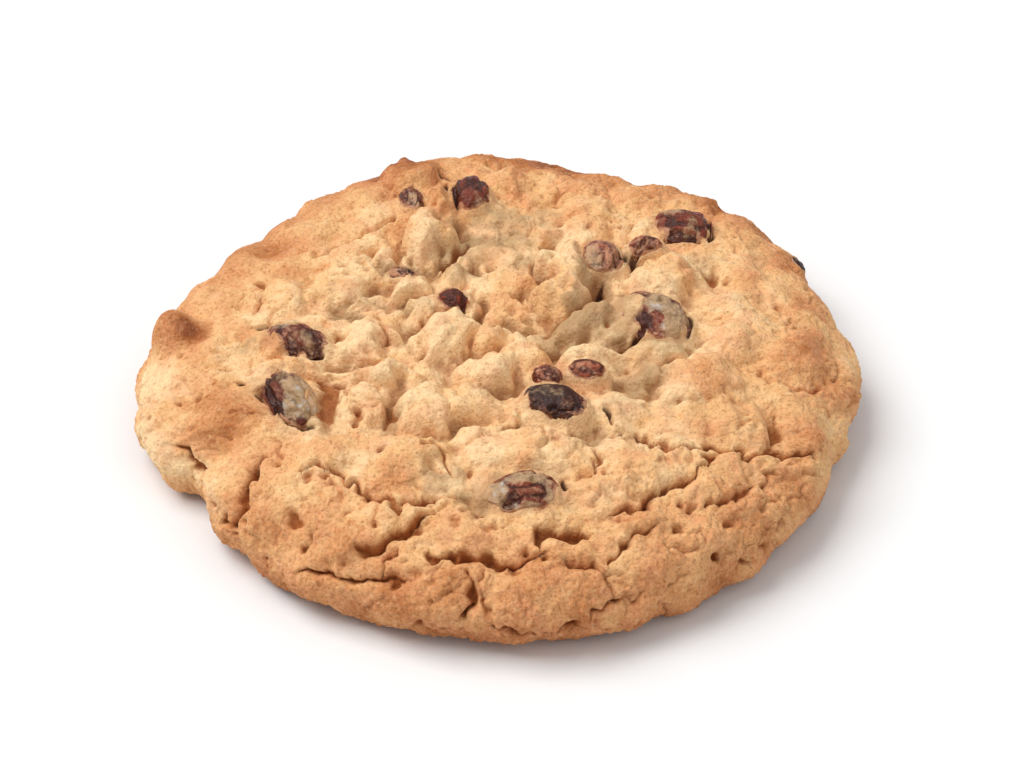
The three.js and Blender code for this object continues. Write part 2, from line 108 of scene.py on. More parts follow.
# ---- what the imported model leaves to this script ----
# Smaller lumps that show by themselves, in the same terms.
DETAIL_LUMPS = [
    (-20, 18, 4, 2.2, 29, 1.2), (-22.5, 0, 4.5, 2, 153, 1.4), (-17, -1.5, 3.5, 3, 71, 1.5),
    (-36, -3, 3.5, 2.2, 116, 1.2), (-34, 1.5, 2.5, 1.5, 148, 1.2), (1.5, 33.5, 3.5, 2.5, 92, 1.4),
    (6.5, 37.5, 3.5, 2.5, 40, 1.2), (6, 31, 3.3, 2, 53, 1.2), (-8.5, 25.5, 6, 1.7, 90, 2),
    (-13, 24, 2, 1.7, 149, 1.2), (-17, 17, 4.7, 2.4, 96, 1.6), (1, 24, 4, 3.3, 154, 0.8),
    (0, 16, 3.8, 2.8, 83, 0.9), (4.5, 15, 4.2, 2.3, 88, 0.8), (6.5, 20, 2.3, 2.1, 62, 1.3),
    (12, 22, 4, 3.6, 170, 1.3), (-5.5, 11.5, 3, 2, 177, 1.2), (-12.5, 8, 2.7, 1.8, 64, 1.6),
    (-10.5, 3, 2.8, 2, 66, 1.3), (-14, -1.5, 2.6, 2, 108, 1.2), (-2, -3.5, 2.6, 2, 86, 1.5),
    (20, 22, 3.5, 2.4, 54, 1.5), (32, 7.5, 4, 2.5, 35, 1.3), (-44.5, -6.5, 6, 2.5, 100, 1.2),
    (-35.5, -9, 2.8, 1.9, 21, 1.2), (-40, -7, 4, 2.2, 147, 1.2), (-41.5, -13, 3.7, 2.8, 118, 1.2),
    (-45, -17, 3.5, 2.5, 82, 1), (-30.5, -33.5, 3.5, 3, 3, 1.4), (-22, -29.5, 3.5, 2, 171, 1.4),
    (-16, -10.5, 5.8, 1.8, 8, 1.6), (-18, -5, 3.5, 2.5, 30, 1.4), (-7.5, -29.5, 2.8, 2.6, 152, 1.3),
    (0.5, -16.5, 2.4, 2.2, 50, 1.3), (-9.5, -34, 3.8, 1.3, 11, 1.3), (-2.5, -36.5, 3, 1.7, 2, 1.4),
    (15.5, -16.5, 4, 3.7, 19, 1), (20.5, -6, 4.7, 2, 13, 1.5), (18.5, -10.5, 4, 2.4, 24, 1.2),
    (46, -7.5, 8.6, 2.2, 96, 0.9), (33, -18, 3.7, 2.1, 76, 1.2), (20.5, -26.5, 2.8, 2.2, 62, 1.4),
    (24.5, -24, 2.8, 1.4, 22, 1.3), (33, -23.5, 2.4, 1.7, 38, 1.3), (38, -23, 4.4, 1.5, 23, 1.2),
    (23.5, -30, 4, 1.8, 26, 1.3), (30.5, -30.5, 4.2, 1.5, 28, 1.2), (-7, -37.5, 3.5, 2, 11, 1.4),
    (-0.5, -38.5, 5, 1.8, 8, 1.5), (7, -34.5, 4, 2, 4, 1.5), (17.5, -35, 4.9, 1.3, 19, 1.2),
    (-10, -46, 6, 2.6, 172, 0.9), (25.5, -36, 4.7, 2, 21, 1.1),
]

# Cracks: half width, depth, how far the dough on the left-hand side leans over, and the bends.
CRACKS = [
    (0.45, 1.5, 0.5, [(-25, -26.5), (-23, -26.5), (-20, -27.5), (-18, -30), (-16, -32), (-13.5, -32.5),
        (-12.5, -34.5), (-12, -33.5), (-9.5, -33), (-5.5, -32.5)]),
    (0.35, 1.2, 0, [(-9.5, -24), (-8, -24), (-6.7, -26), (-6.5, -27.5), (-6, -29)]),
    (0.7, 1.9, 0.5, [(-17, -39.5), (-14, -39), (-13, -37.5), (-11.5, -37), (-9.5, -35)]),
    (0.35, 0.9, 0.2, [(-9.5, -35), (-6.5, -34)]),
    (0.7, 1.9, 0.6, [(-8, -41), (-5.5, -40.5), (-0.5, -41), (1, -41.5), (5, -40)]),
    (0.8, 2, 0.5, [(4.2, -38.8), (4.6, -37.3), (7, -37), (10, -37)]),
    (0.5, 1.7, 0.7, [(-0.5, -49), (2, -49.7), (5, -49.5), (7.5, -49), (10, -48), (12, -46),
        (14.5, -44.5)]),
    (0.55, 1.8, 0, [(-3.4, -43.5), (-3, -46), (-4.5, -48)]),
    (0.35, 1, 0, [(1.4, -41.7), (-2.2, -42.4), (-2.7, -44.4), (-1.5, -47.5)]),
    (0.4, 1, 0, [(5, -41), (11, -41.2), (12.6, -42.3), (13.8, -44.5)]),
    (0.35, 0.9, 0.2, [(0.4, -20), (2.3, -19.2)]),
    (0.35, 1, 0, [(11.8, -24), (11.7, -26), (11.3, -27.5)]),
    (0.35, 0.9, 0.2, [(8.8, -31.4), (10.3, -31.2), (12, -31.7)]),
    (0.45, 1.4, 0.4, [(13.7, -33.8), (15.8, -33.2), (17.4, -31.7), (19, -30), (23, -28.5), (26, -24.5)]),
    (0.5, 1.5, 0.4, [(17, -20.7), (19, -22.3), (21.5, -23.8), (25.3, -22.8), (30.7, -22.6), (31.3, -23.5),
        (34.8, -21), (36.2, -22), (40, -20), (40.7, -20.7)]),
    (0.4, 1.2, 0.3, [(25, -31.7), (28.8, -30), (31.5, -27.6)]),
    (0.45, 1.1, 0, [(35, -24.5), (33.8, -25.2), (32.9, -26.6), (33, -28.6)]),
    (0.35, 0.9, 0, [(34.5, -28.7), (33.3, -29.3), (32.5, -30.6)]),
    (0.3, 0.8, 0, [(39, -23.6), (41, -22.6)]),
    (0.35, 0.9, 0, [(19.2, -37.6), (20.5, -38.2), (23.5, -37.9)]),
    (0.35, 0.9, 0, [(20.5, -35.5), (22.8, -35.9)]),
    (0.3, 0.8, 0, [(12, -35.2), (15, -34.8), (18.2, -35.6)]),
    (0.4, 1.1, 0.3, [(13.3, -40.5), (14.3, -38.4), (16, -37), (18.7, -35.3)]),
    (0.4, 1.2, 0, [(-42, -17.7), (-42.5, -19.5), (-43, -21.2), (-42, -23.4), (-40, -26), (-38.3, -28.7)]),
    (0.6, 1.8, 0, [(-30, -24.3), (-31, -26), (-32.5, -29), (-32.6, -30.7), (-34, -32.3), (-37, -31)]),
    (0.45, 1.4, 0.4, [(-25.5, -40.3), (-23, -41), (-18, -43), (-15, -42.7), (-13, -43.7), (-12, -43.2)]),
    (0.35, 1, 0.2, [(-15, -42.7), (-14, -41), (-13, -39.7)]),
    (0.35, 1, 0.3, [(-25, 3.5), (-23.4, 2.9), (-21.5, 1.2)]),
    (0.35, 0.9, 0.2, [(-21.3, 3.9), (-19, 4.2), (-16.5, 3.9)]),
    (0.5, 1.2, 0, [(-4.5, 18.4), (-6, 16.5), (-8.2, 12.7)]),
    (0.4, 1, 0.3, [(-20, -7.8), (-17.8, -8.2), (-12.6, -8.1)]),
    (0.3, 0.8, 0, [(-10.7, 0.7), (-9.6, 1.7)]),
    (0.35, 0.9, 0, [(-6.4, -8.4), (-4.5, -6.7)]),
    (0.4, 0.9, 0.2, [(-26.5, 17.6), (-23, 19.9), (-20.3, 21.4), (-18.7, 23.3), (-14.7, 25.6)]),
    (0.4, 0.9, 0, [(-32, 4), (-32, 7), (-31.8, 9.5), (-33, 11.6)]),
    (0.4, 0.8, 0, [(34, -7.6), (35, -9.5), (40, -10.2), (42.3, -8)]),
    (0.35, 0.8, 0, [(44, -0.8), (44.4, -3.3), (44.2, -5.8)]),
    (0.4, 1, 0, [(35.4, -15.5), (34.9, -18.3), (35.3, -20.2)]),
    (0.35, 0.8, 0, [(-35, -11.6), (-36, -12.6), (-38, -12.9)]),
    (0.3, 0.7, 0, [(-38, -5.2), (-35.3, -6.7), (-33.4, -6.8)]),
]

# Hollows and holes: x, y, half length, half width, turn in degrees, depth.
HOLLOWS = [
    (-22.9, -15, 5, 1.6, 103, 1.8), (-18.3, -18, 1.9, 0.8, 94, 1.2), (-25.5, -34, 1.6, 0.9, 143, 1.1),
    (-10.6, -37.2, 1.5, 0.9, 39, 1.2), (22, -32.1, 0.5, 0.4, 6, 1.4), (23.2, -32.2, 0.6, 0.45, 48, 0.9),
    (26.8, -37.9, 0.8, 0.6, 17, 1.6), (31.8, -37.5, 1.2, 0.6, 36, 1.3), (-14.6, -2.1, 1.1, 0.6, 99, 1.2),
    (-22.9, -12.2, 2.2, 0.8, 82, 1.2), (13.5, -18.7, 0.7, 0.4, 124, 1.2), (18.3, -21, 0.9, 0.6, 73, 1.2),
    (28.1, -33.7, 1.2, 0.7, 44, 0.9), (-5.3, -36.5, 0.9, 0.6, 12, 1), (-24.2, -28, 1.2, 0.8, 161, 1),
    (28.1, 11.5, 1.5, 1, 94, 1.2), (39.2, 2.5, 2, 1.2, 66, 0.5), (0.7, -41.3, 1, 0.7, 1, 0.8),
    (-3.1, -46.3, 1.1, 0.7, 90, 0.9), (-1.2, -47.8, 1.1, 0.7, 96, 0.9), (40, -20.4, 0.9, 0.5, 41, 0.9),
    (-13.7, -18, 3.4, 1.2, 93, 0.9), (35, -18.5, 2.6, 1.3, 80, 1.2), (-13.4, -43.4, 1.5, 0.8, 172, 0.9),
]

# Broad dips between the lumps of the middle, also painted greyer and browner as painted shade: in the same
# terms.
DIPS = [
    (-2.7, 3.5, 2.8, 1.5, 90, 1.3), (1.9, 0.6, 2.6, 1.8, 10, 1.3), (3.2, 6.1, 2.8, 0.9, 90, 1),
    (7, -5.8, 2, 1.2, 20, 1), (-3.1, 13.3, 2.6, 1.7, 60, 1.1), (-16.1, 13.7, 1.8, 1.3, 0, 0.9),
    (-11.4, -5.4, 1.6, 1.1, 30, 0.9), (-5.4, 21, 1.8, 1.2, 60, 0.9), (-2.5, -33, 2.8, 1.2, 10, 0.8),
    (17, 6.5, 2.6, 1.2, 60, 0.9), (16.5, -4.5, 2.8, 1.1, 15, 0.9), (-15.5, 5, 2, 1.2, 20, 0.8),
]

# Browned places: in the same terms, with an amount from 0 to 1.
BROWNED = [
    (-35.8, -16.1, 5.3, 3.4, 71, 0.34), (-42, 1, 3, 2.8, 158, 0.36), (-12.2, -25.3, 4.4, 4.1, 150, 0.32),
    (-13, -29.2, 2.8, 2.6, 152, 0.2), (37.6, -4.2, 5.7, 4.5, 58, 0.3), (28, -11.2, 6, 4, 78, 0.26),
    (27.5, -17, 4.4, 3.6, 46, 0.2), (-4.2, -15.5, 4.4, 3.9, 8, 0.22), (2.8, -5.9, 3.5, 2.9, 90, 0.25),
    (6.9, 4, 3.9, 2.3, 89, 0.25), (-8.3, 25.4, 6.1, 1.8, 91, 0.4), (-13.3, 23.3, 2.1, 1.8, 133, 0.35),
    (25.1, 8.7, 2.8, 2.2, 77, 0.3), (6.7, -45.5, 4.7, 2.9, 5, 0.12), (1.6, 6, 5.5, 3.1, 89, 0.35),
    (15, -30.4, 2.9, 2.7, 62, 0.12), (27.1, -29.1, 3.3, 2, 15, 0.12), (-33, 0.9, 2.7, 1.8, 134, 0.4),
    (5.5, -25.5, 3, 2.1, 6, 0.12), (38.4, 6.8, 3.7, 1.7, 33, 0.25), (14.7, 33.8, 4.6, 3.1, 80, 0.2),
    (2.7, 30.9, 3.4, 1.7, 85, 0.3), (-9.3, -46.2, 7.6, 2.4, 177, 0.15), (-28.3, -4.2, 1.8, 1.4, -81, 0.5),
    (-34, 20, 15, 6, 122, 0.28), (-15, 38, 9, 5, 155, 0.48), (8, 41, 12, 5, 175, 0.46),
    (30, 33, 9, 5, 135, 0.33), (-39.4, 0.4, 1.8, 1.4, 60, 0.75), (8, 30, 14, 6, 0, 0.1),
]

# Places at the rim painted paler: in the same terms. On the left rim this is a painted pool of light from
# the left.
PALE_AND_LIT_PLACES = [
    (-45, -8, 10, 5, 100, 0.42), (-46.5, -18, 7, 5, 110, 0.45), (-40, -25, 8, 4, 125, 0.32),
    (-25, -33, 5, 3, 150, 0.1), (46, 3, 8, 4, 90, 0.16), (46, -16, 8, 4, 75, 0.26),
]

# Places where fruit and fat have turned the dough greyish: in the same terms.
GREYED = [
    (0.6, 24.1, 4.4, 3.5, 155, 0.7), (-0.1, 18.4, 4.9, 3.3, 12, 0.8), (-7.7, 15.1, 2.8, 2, 85, 0.6),
    (-5.2, 19.4, 2.7, 1.9, 98, 0.6), (3.5, 14.1, 3.7, 3.2, 77, 0.5), (-14.3, 12.4, 3.2, 2.3, 176, 0.8),
    (-5.4, 11.7, 3.6, 1.9, 168, 0.7), (-11.3, 3.2, 2.5, 2, 160, 0.45), (-18.7, 6.1, 2.9, 2.4, 21, 0.45),
    (-20, 2.6, 2.5, 1.7, 162, 0.6), (11.2, -0.4, 7.4, 2.7, 30, 0.9), (14.8, -1.8, 3.2, 2.2, 1, 0.7),
    (20.7, -4.8, 4.7, 2.1, 14, 0.7), (18.6, -10.5, 4.3, 2.6, 25, 0.8), (12.1, 9.6, 4.2, 2.2, 86, 0.7),
    (10.1, 2.9, 3.2, 2.1, 26, 0.6), (-2.5, -32.6, 3.6, 2.3, 21, 0.6), (-7.7, -29.4, 3.4, 3, 95, 0.6),
    (-8.9, -26.3, 2.1, 1.8, 173, 0.4), (-24.8, -17.8, 4.3, 3, 141, 0.8), (-23, -16.1, 4.8, 1.9, 110, 0.7),
    (11.4, -21.3, 2.8, 2.2, 2, 0.6), (-13.7, -19, 3.7, 1.6, 93, 0.5), (-1.3, -14.6, 1.9, 1.5, 85, 0.5),
    (15.5, -17.1, 3.7, 2.5, 4, 0.35), (-32.1, -3.1, 2.4, 1.7, 141, 0.6), (26.8, 14, 3.1, 2.1, 146, 0.5),
    (39, 2.8, 3.6, 1.7, 67, 0.35), (6.7, -32.4, 2.7, 2.5, 23, 0.4), (2.4, -29.3, 5, 1.7, 10, 0.6),
    (22.4, -4.2, 3.1, 2.1, 7, 0.5), (5.7, 25.4, 3.7, 2.9, 73, 0.45),
]

# Raisins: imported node, place, half sizes, turn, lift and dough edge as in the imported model; then
# how red the skin is and how much of it is dusted with dough, both from 0 to 1.
RAISINS = [
    ("raisin_back_centre", (-4.1, 28), (3.9, 2.9, 2.7), 92, 0.1, 0.8, 0.6, 0.15),
    ("raisin_back_left", (-12.4, 28.2), (2.9, 1.7, 1.7), -87, 0.5, 1, 0.5, 0.3),
    ("raisin_back_right", (24.7, 22.2), (4, 3.6, 2.8), 0, 0.2, 1, 0.75, 0.2),
    ("raisin_ridge_centre", (13.5, 12.7), (3.6, 2.8, 2.6), -82, 0.9, 1.7, 1, 0.5),
    ("raisin_ridge_right", (19.1, 15.8), (2.4, 1.9, 1.9), 20, 0.8, 1.5, 1, 0.5),
    ("raisin_right", (19.7, 0.7), (5.2, 4, 3), -42, 0.3, 1.1, 0.6, 0.3),
    ("raisin_rim_right", (40.9, 20.6), (1.9, 1.2, 1.2), 116, -0.1, 0.7, 0, 0.1),
    ("raisin_left_upper", (-25.5, -3.1), (4.6, 2.9, 2.6), -31, 0, 1, 0.6, 0.3),
    ("raisin_left_lower", (-28.8, -15.4), (5.2, 3.3, 2.9), -67, 0.1, 0.9, 0.45, 0.2),
    ("raisin_middle_left", (5.8, -11.7), (2.1, 1.7, 1.7), -40, 1.1, 1.5, 1, 0.45),
    ("raisin_middle_right", (10.8, -10.9), (2.6, 1.9, 1.8), -6, 1.1, 1.5, 1, 0.4),
    ("raisin_middle_dark", (6.9, -16.4), (4.4, 2.9, 2.5), -28, 0.7, 1.2, 0.05, 0.22),
    ("raisin_front", (2.8, -31.5), (5, 3, 2.7), 11, 0, 0.8, 0.7, 0.3),
    ("raisin_under_flake", (-6.7, 5.3), (2.4, 2, 1.9), -10, -0.3, 0.6, 1, 0.05),
    ("raisin_upper_left", (-13.9, 11.5), (2, 1.7, 1.6), 0, -0.4, 0.6, 0.2, 0.6),
]

# Dough that creeps over the fruit: in the same terms, with its thickness.
COVERS = [
    (-7.3, 24.7, 3.2, 1.4, -88, 0.5), (-6.8, 31.1, 1.6, 0.9, -68, 0.25), (15.2, 0.4, 3.7, 2.4, 77, 0.4),
    (16.5, 1, 2.9, 1.9, 56, 0.35), (-28.2, -4.6, 1.9, 1.2, -82, 0.45), (-26.4, -1.2, 1.4, 0.9, -37, 0.3),
    (-24.6, -17.6, 3.4, 1, -62, 0.3), (-2, -32.4, 1.6, 1.1, 89, 0.3), (7.4, -32, 1.5, 0.8, 88, 0.25),
    (4.2, -34.5, 2.6, 0.6, 3, 0.3), (6, -13.5, 1.5, 0.4, 0, 0.2), (11, 9.2, 2.5, 1.2, 86, 0.25),
    (-11.8, 9.9, 1.6, 0.9, 20, 0.4), (-4.4, 7, 1.4, 0.8, 60, 0.4), (-8.2, 6.9, 1.8, 1.2, 40, 0.4),
]

# Deep gaps beside and in the folds of the fruit: in the same terms, with their depth. The dough in them is
# painted near black as painted shade.
GAPS = [
    (-6, 27.1, 2.6, 0.35, -85, 1.2), (-7.4, 33.6, 1.9, 0.35, -50, 1), (-7.4, 30.3, 1.2, 0.3, -89, 1),
    (-12.3, 31.4, 0.6, 0.3, 0, 0.8), (24.1, 18.8, 2.4, 0.5, -5, 1.4), (28.2, 22.3, 3.4, 0.4, 83, 1.2),
    (23, 26.7, 1.3, 0.3, -18, 0.8), (15.9, 12.2, 2.2, 0.4, 66, 1.8), (12.8, 7, 1.3, 0.4, 70, 1.6),
    (18, 14.3, 1.6, 0.5, 48, 1.6), (17.7, -3.2, 1, 0.5, 42, 1.8), (24.3, 0.3, 2.9, 0.4, 86, 1.4),
    (20.4, 2.2, 0.9, 0.35, 81, 1), (-29.7, 0.2, 1.6, 0.5, -12, 2), (-26, -5.2, 1.4, 0.6, -80, 1.6),
    (-22.9, -6.3, 1.2, 0.5, 20, 1.6), (-26.6, -19.4, 2.6, 0.6, -20, 2.6), (6.2, -18.6, 0.6, 0.4, 8, 1.2),
    (-27.6, -17.2, 2.2, 0.35, -62, 0.9), (-32.2, -10.2, 0.5, 0.4, 0, 1.2), (-13.2, 12.3, 1.3, 0.5, 5, 1.2),
    (13.2, -17.7, 0.9, 0.35, -60, 1.4), (1.5, -33.7, 1.1, 0.6, 11, 2.2), (7.6, -30, 1.1, 0.4, 89, 1.2),
    (4, -30.8, 0.6, 0.35, 88, 0.8), (-5.2, 4.6, 1.6, 0.4, -88, 1.2), (-7.3, 3.2, 1.4, 0.5, 10, 1.2),
    (-31, -15.6, 2.8, 0.45, -77, 1.2),
]

# Pale film on the fruit, and the bare places in it: in the same terms, with an amount.
FILMS = [
    (-12.3, 26.7, 2, 0.9, -88, 0.55), (-2.5, 24.6, 1.8, 1.2, 86, 0.6), (23.5, 23.2, 1.8, 1.3, 3, 0.65),
    (25.4, 20.2, 2.2, 1, 80, 0.5), (20.2, 1.6, 3, 2, 78, 1.05), (22.2, -1.4, 3.4, 2.1, -90, 1),
    (14.8, -1.5, 1.8, 1.4, -67, 0.85), (-26.9, -16.6, 5, 2.3, -63, 1), (-28.4, -18.4, 1.8, 1.2, -46, 1),
    (-29.4, -12, 1.5, 1.2, 60, 0.55), (-0.6, -32.2, 2, 1.7, 87, 0.95), (3.2, -30.5, 3, 1.2, 4, 1),
    (6.1, -31.9, 1.7, 1.1, 88, 0.8), (2.7, -34.2, 3.3, 0.7, 3, 0.55), (-23.8, -4.9, 1.8, 0.9, -72, 0.6),
    (-27, -1.4, 1.8, 1.2, -37, 0.7), (11.7, 10.3, 3.2, 1.6, 87, 0.75), (8.8, -14.2, 1.2, 0.9, 3, 0.5),
    # painted glints: this row lays pale film over the dark raisin in the middle
    (6, -16, 3.4, 1.3, -28, 0.4),
]
BARE = [
    (18.5, -2.4, 2.6, 0.75, 31, 1.2), (3.5, -33, 1.6, 0.8, -24, 1.2), (14.1, 13.7, 2.6, 1.3, -57, 1),
    (-30.5, -15.5, 4, 0.9, -80, 1),
]

# Places where the crust is smoother: in the same terms.
SMOOTH = [
    (-34, 19, 16, 7, 125, 0.8), (-14, 42, 12, 6, 160, 0.6), (12, 42, 14, 5, 10, 0.5),
    (40, 18, 12, 6, 110, 0.5), (28, -11, 7, 5, 78, 0.5), (-41, 1.6, 4.2, 4, 158, 0.7),
]

# The knob on the rim and the dough round it, where the relief is blurred and not warped.
KNOB_AREA = [(-41.5, 1.6, 5, 5, 0, 1)]

SMALL_CRACKS = 170
CRACK_MARGIN = 5  # mm beside a crack that its step and its lip can reach
LIP_LEAN = 0.45  # mm for an overhang of 1
PORES = 1700
OAT_FLAKES = 80
UNDERSIDE_SHARE = 0.985  # of the flat foot's radius; a ring of faces joins the rest
TOP_CELLS = 480  # cells across the skin's grid; the underside has half as many
BALL_SUBDIVISIONS = 6
RASTER_STEP = 0.125  # mm between the cells of the relief
RASTER_REACH = 62  # mm from the middle of the top to the raster's edge
DOUGH_FIELDS = ("bake_and_shade", "grey_and_shade", "cavity_shade", "stain", "gaps")


def polar(distance, angle):
    """x and y of a place at a distance and an angle."""
    return distance * math.cos(angle), distance * math.sin(angle)


# ---- the smooth dome ----

def plan_radius(angle):
    """Radius of the outline in each direction."""
    radius = np.full_like(angle, PLAN_RADIUS)
    for centre, outwards, half_width in BULGES:
        turn = (angle - math.radians(centre) + math.pi) % (2 * math.pi) - math.pi
        radius += outwards * np.exp(-((turn / math.radians(half_width)) ** 2))
    return radius


def make_meridian():
    """Radius, height and length along the meridian, from the top's middle to the underside."""
    part = 1 - np.linspace(1, 0, 400) ** 2
    radius = part * PLAN_RADIUS
    fall = (1 - part ** SHOULDER_POWER) ** (1 / SHOULDER_ROUNDING)
    height = WIDEST_HEIGHT + (DOME_HEIGHT - WIDEST_HEIGHT) * fall
    angle = np.linspace(0, math.pi / 2, 100)[1:]
    radius = np.append(radius, PLAN_RADIUS - FOOT_INSET * (1 - np.cos(angle)))
    height = np.append(height, WIDEST_HEIGHT * (1 - np.sin(angle)))
    length = np.append(0, np.cumsum(np.hypot(np.diff(radius), np.diff(height))))
    return radius, height, length


MERIDIAN_RADIUS, MERIDIAN_HEIGHT, MERIDIAN_LENGTH = make_meridian()
SKIN_LENGTH = MERIDIAN_LENGTH[-1]


def dome_point(x, y):
    """Points of the smooth dome under places on the unrolled skin."""
    distance = np.hypot(x, y)
    angle = np.arctan2(y, x)
    radius = np.interp(distance, MERIDIAN_LENGTH, MERIDIAN_RADIUS) / PLAN_RADIUS * plan_radius(angle)
    height = np.interp(distance, MERIDIAN_LENGTH, MERIDIAN_HEIGHT)
    across = radius * np.cos(angle) + PLAN_SHIFT[0]
    away = radius * np.sin(angle) + PLAN_SHIFT[1]
    return np.stack([across, away, height], axis=-1)


def unit(vectors):
    return vectors / np.linalg.norm(vectors, axis=-1, keepdims=True)


def dome_frame(x, y):
    """Point, outward normal and the two directions along the skin, at each place."""
    step = 0.05
    reach = np.hypot(x, y) + 1e-6
    inwards = np.where(reach > SKIN_LENGTH - step, 1 - 2 * step / reach, 1)
    u, v = x * inwards, y * inwards
    along_x = unit(dome_point(u + step, v) - dome_point(u - step, v))
    along_y = dome_point(u, v + step) - dome_point(u, v - step)
    normal = unit(np.cross(along_x, along_y))
    return dome_point(x, y), normal, along_x, np.cross(normal, along_x)


# ---- the relief, drawn on a raster over the unrolled skin ----

AXIS = np.arange(-RASTER_REACH, RASTER_REACH + RASTER_STEP / 2, RASTER_STEP)
SKIN_X, SKIN_Y = np.meshgrid(AXIS, AXIS)
SKIN_DISTANCE = np.hypot(SKIN_X, SKIN_Y)


def smoothstep(value, low, high):
    part = np.clip((value - low) / (high - low), 0, 1)
    return part * part * (3 - 2 * part)


def filtered(field, weight):
    """A field with each of its waves scaled by a weight that depends on the wave's frequency."""
    rows = np.fft.fftfreq(field.shape[0], RASTER_STEP)[:, None]
    columns = np.fft.rfftfreq(field.shape[1], RASTER_STEP)[None, :]
    return np.fft.irfft2(np.fft.rfft2(field) * weight(np.hypot(rows, columns)), field.shape)


def noise(seed, wavelength, spread=0.4):
    """Seeded noise with waves of about one length, mean 0 and deviation 1."""
    def weight(frequency):
        octaves = np.log(np.maximum(frequency * wavelength, 1e-9)) / spread
        return np.exp(-(octaves ** 2))

    white = np.random.default_rng(seed).standard_normal(SKIN_X.shape)
    waves = filtered(white, weight)
    return waves / waves.std()


def blurred(field, radius):
    return filtered(field, lambda f: np.exp(-2 * (math.pi * radius * f) ** 2))


def cushions(seed, size, x, y):
    """Seeded crumbs of one size side by side: 1 on top of each, lower where two of them meet."""
    cells = int(2 * RASTER_REACH / size) + 4
    offset = np.random.default_rng(seed).random((2, cells, cells))
    column, row = (x + RASTER_REACH) / size + 1, (y + RASTER_REACH) / size + 1
    nearest = np.ones_like(x)
    for step in np.ndindex(3, 3):
        r = np.clip(np.floor(row).astype(int) + step[0] - 1, 0, cells - 1)
        c = np.clip(np.floor(column).astype(int) + step[1] - 1, 0, cells - 1)
        distance = (c + offset[0, r, c] - column) ** 2 + (r + offset[1, r, c] - row) ** 2
        nearest = np.minimum(nearest, distance)
    return 1 - nearest


def window(x, y, reach):
    """The part of the raster within reach of a place."""
    column = int(round((x + RASTER_REACH) / RASTER_STEP))
    row = int(round((y + RASTER_REACH) / RASTER_STEP))
    cells = int(math.ceil(reach / RASTER_STEP)) + 1
    return tuple(slice(max(middle - cells, 0), middle + cells + 1) for middle in (row, column))


def near_spot(x, y, spot, reach):
    """The part of the raster near a spot, and the distance from its middle there; its edge is 1."""
    centre_x, centre_y, half_length, half_width, turn = spot
    part = window(centre_x, centre_y, reach)
    cos, sin = polar(1, math.radians(turn))
    dx, dy = x[part] - centre_x, y[part] - centre_y
    lengthwise, crosswise = dx * cos + dy * sin, dy * cos - dx * sin
    return part, np.hypot(lengthwise / half_length, crosswise / half_width)


def scatter(index, salt, low=0, high=1):
    """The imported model's number that looks random but is always the same."""
    wave = math.sin(index * 12.9898 + salt * 78.233) * 43758.5453
    return low + (high - low) * (wave - math.floor(wave))


def small_lumps():
    """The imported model's small lumps, spread by the golden angle."""
    golden_angle = math.pi * (3 - math.sqrt(5))
    for i in range(SMALL_LUMPS):
        distance = SMALL_LUMP_REACH * math.sqrt((i + scatter(i, 1)) / SMALL_LUMPS)
        half_length = scatter(i, 2, *SMALL_LUMP_LENGTH)
        half_width = half_length * scatter(i, 3, *SMALL_LUMP_WIDTH)
        x, y = polar(distance, i * golden_angle)
        turn, height = 180 * scatter(i, 4), scatter(i, 5, *SMALL_LUMP_HEIGHT)
        yield (x, y, half_length, half_width, turn, height)


def lump_height(x, y):
    """Rounded cushions with a crease where two of them meet, lower towards the rim."""
    total = np.ones_like(x)
    for lump in [*LUMPS, *DETAIL_LUMPS, *small_lumps()]:
        part, distance = near_spot(x, y, lump[:5], 1.5 * lump[2] + 2)
        rise = np.exp(CREASE_SHARPNESS * lump[5] * (1 - distance ** 3))
        total[part] += np.where(distance < 1.5, rise, 0)
    middle = 1 - smoothstep(np.hypot(x, y - MIDDLE_CENTRE), *MIDDLE_FADE)
    gain = RIM_GAIN + (MIDDLE_GAIN - RIM_GAIN) * middle
    return np.log(total) / CREASE_SHARPNESS * gain - MIDDLE_DROP * middle


def patches(x, y, table, core, edge):
    """Spots of the given amounts that fade between two distances; the stronger of two holds."""
    amount = np.zeros_like(x)
    for spot in table:
        part, distance = near_spot(x, y, spot[:5], 2 * spot[2] + 2)
        amount[part] = np.maximum(amount[part], spot[5] * (1 - smoothstep(distance, core, edge)))
    return amount


def nearest_on_line(x, y, bends):
    """Distance to a bent line, positive on its right-hand side, and the way across it."""
    best = np.full_like(x, np.inf)
    signed, across_x, across_y = np.zeros((3, *x.shape))
    for (x0, y0), (x1, y1) in zip(bends, bends[1:]):
        length = math.hypot(x1 - x0, y1 - y0)
        along_x, along_y = (x1 - x0) / length, (y1 - y0) / length
        part = np.clip((x - x0) * along_x + (y - y0) * along_y, 0, length)
        distance = np.hypot(x - (x0 + part * along_x), y - (y0 + part * along_y))
        side = np.sign((x - x0) * along_y - (y - y0) * along_x)
        nearer = distance < best
        best[nearer] = distance[nearer]
        signed[nearer] = (distance * side)[nearer]
        across_x[nearer], across_y[nearer] = along_y, -along_x
    return signed, across_x, across_y


def make_small_cracks(count, seed):
    """Short seeded cracks of the crust, most of them at the front and along the rim."""
    rng = np.random.default_rng(seed)
    cracks = []
    while len(cracks) < count:
        distance, angle = rng.uniform(22, 54), rng.uniform(0, 2 * math.pi)
        if rng.random() > 0.55 - 0.45 * math.sin(angle):
            continue
        way = angle + math.pi / 2 + rng.normal(0, 0.6)
        length = rng.uniform(1.6, 5)
        x, y = polar(distance, angle)
        cos, sin = polar(1, way)
        bends = []
        for part in np.linspace(-0.5, 0.5, 5):
            along, aside = length * part, rng.normal(0, 0.09 * length)
            bends.append((x + (along * cos - aside * sin), y + (along * sin + aside * cos)))
        cracks.append((rng.uniform(0.2, 0.36), rng.uniform(0.35, 0.8), rng.uniform(0, 0.3), bends))
    return cracks


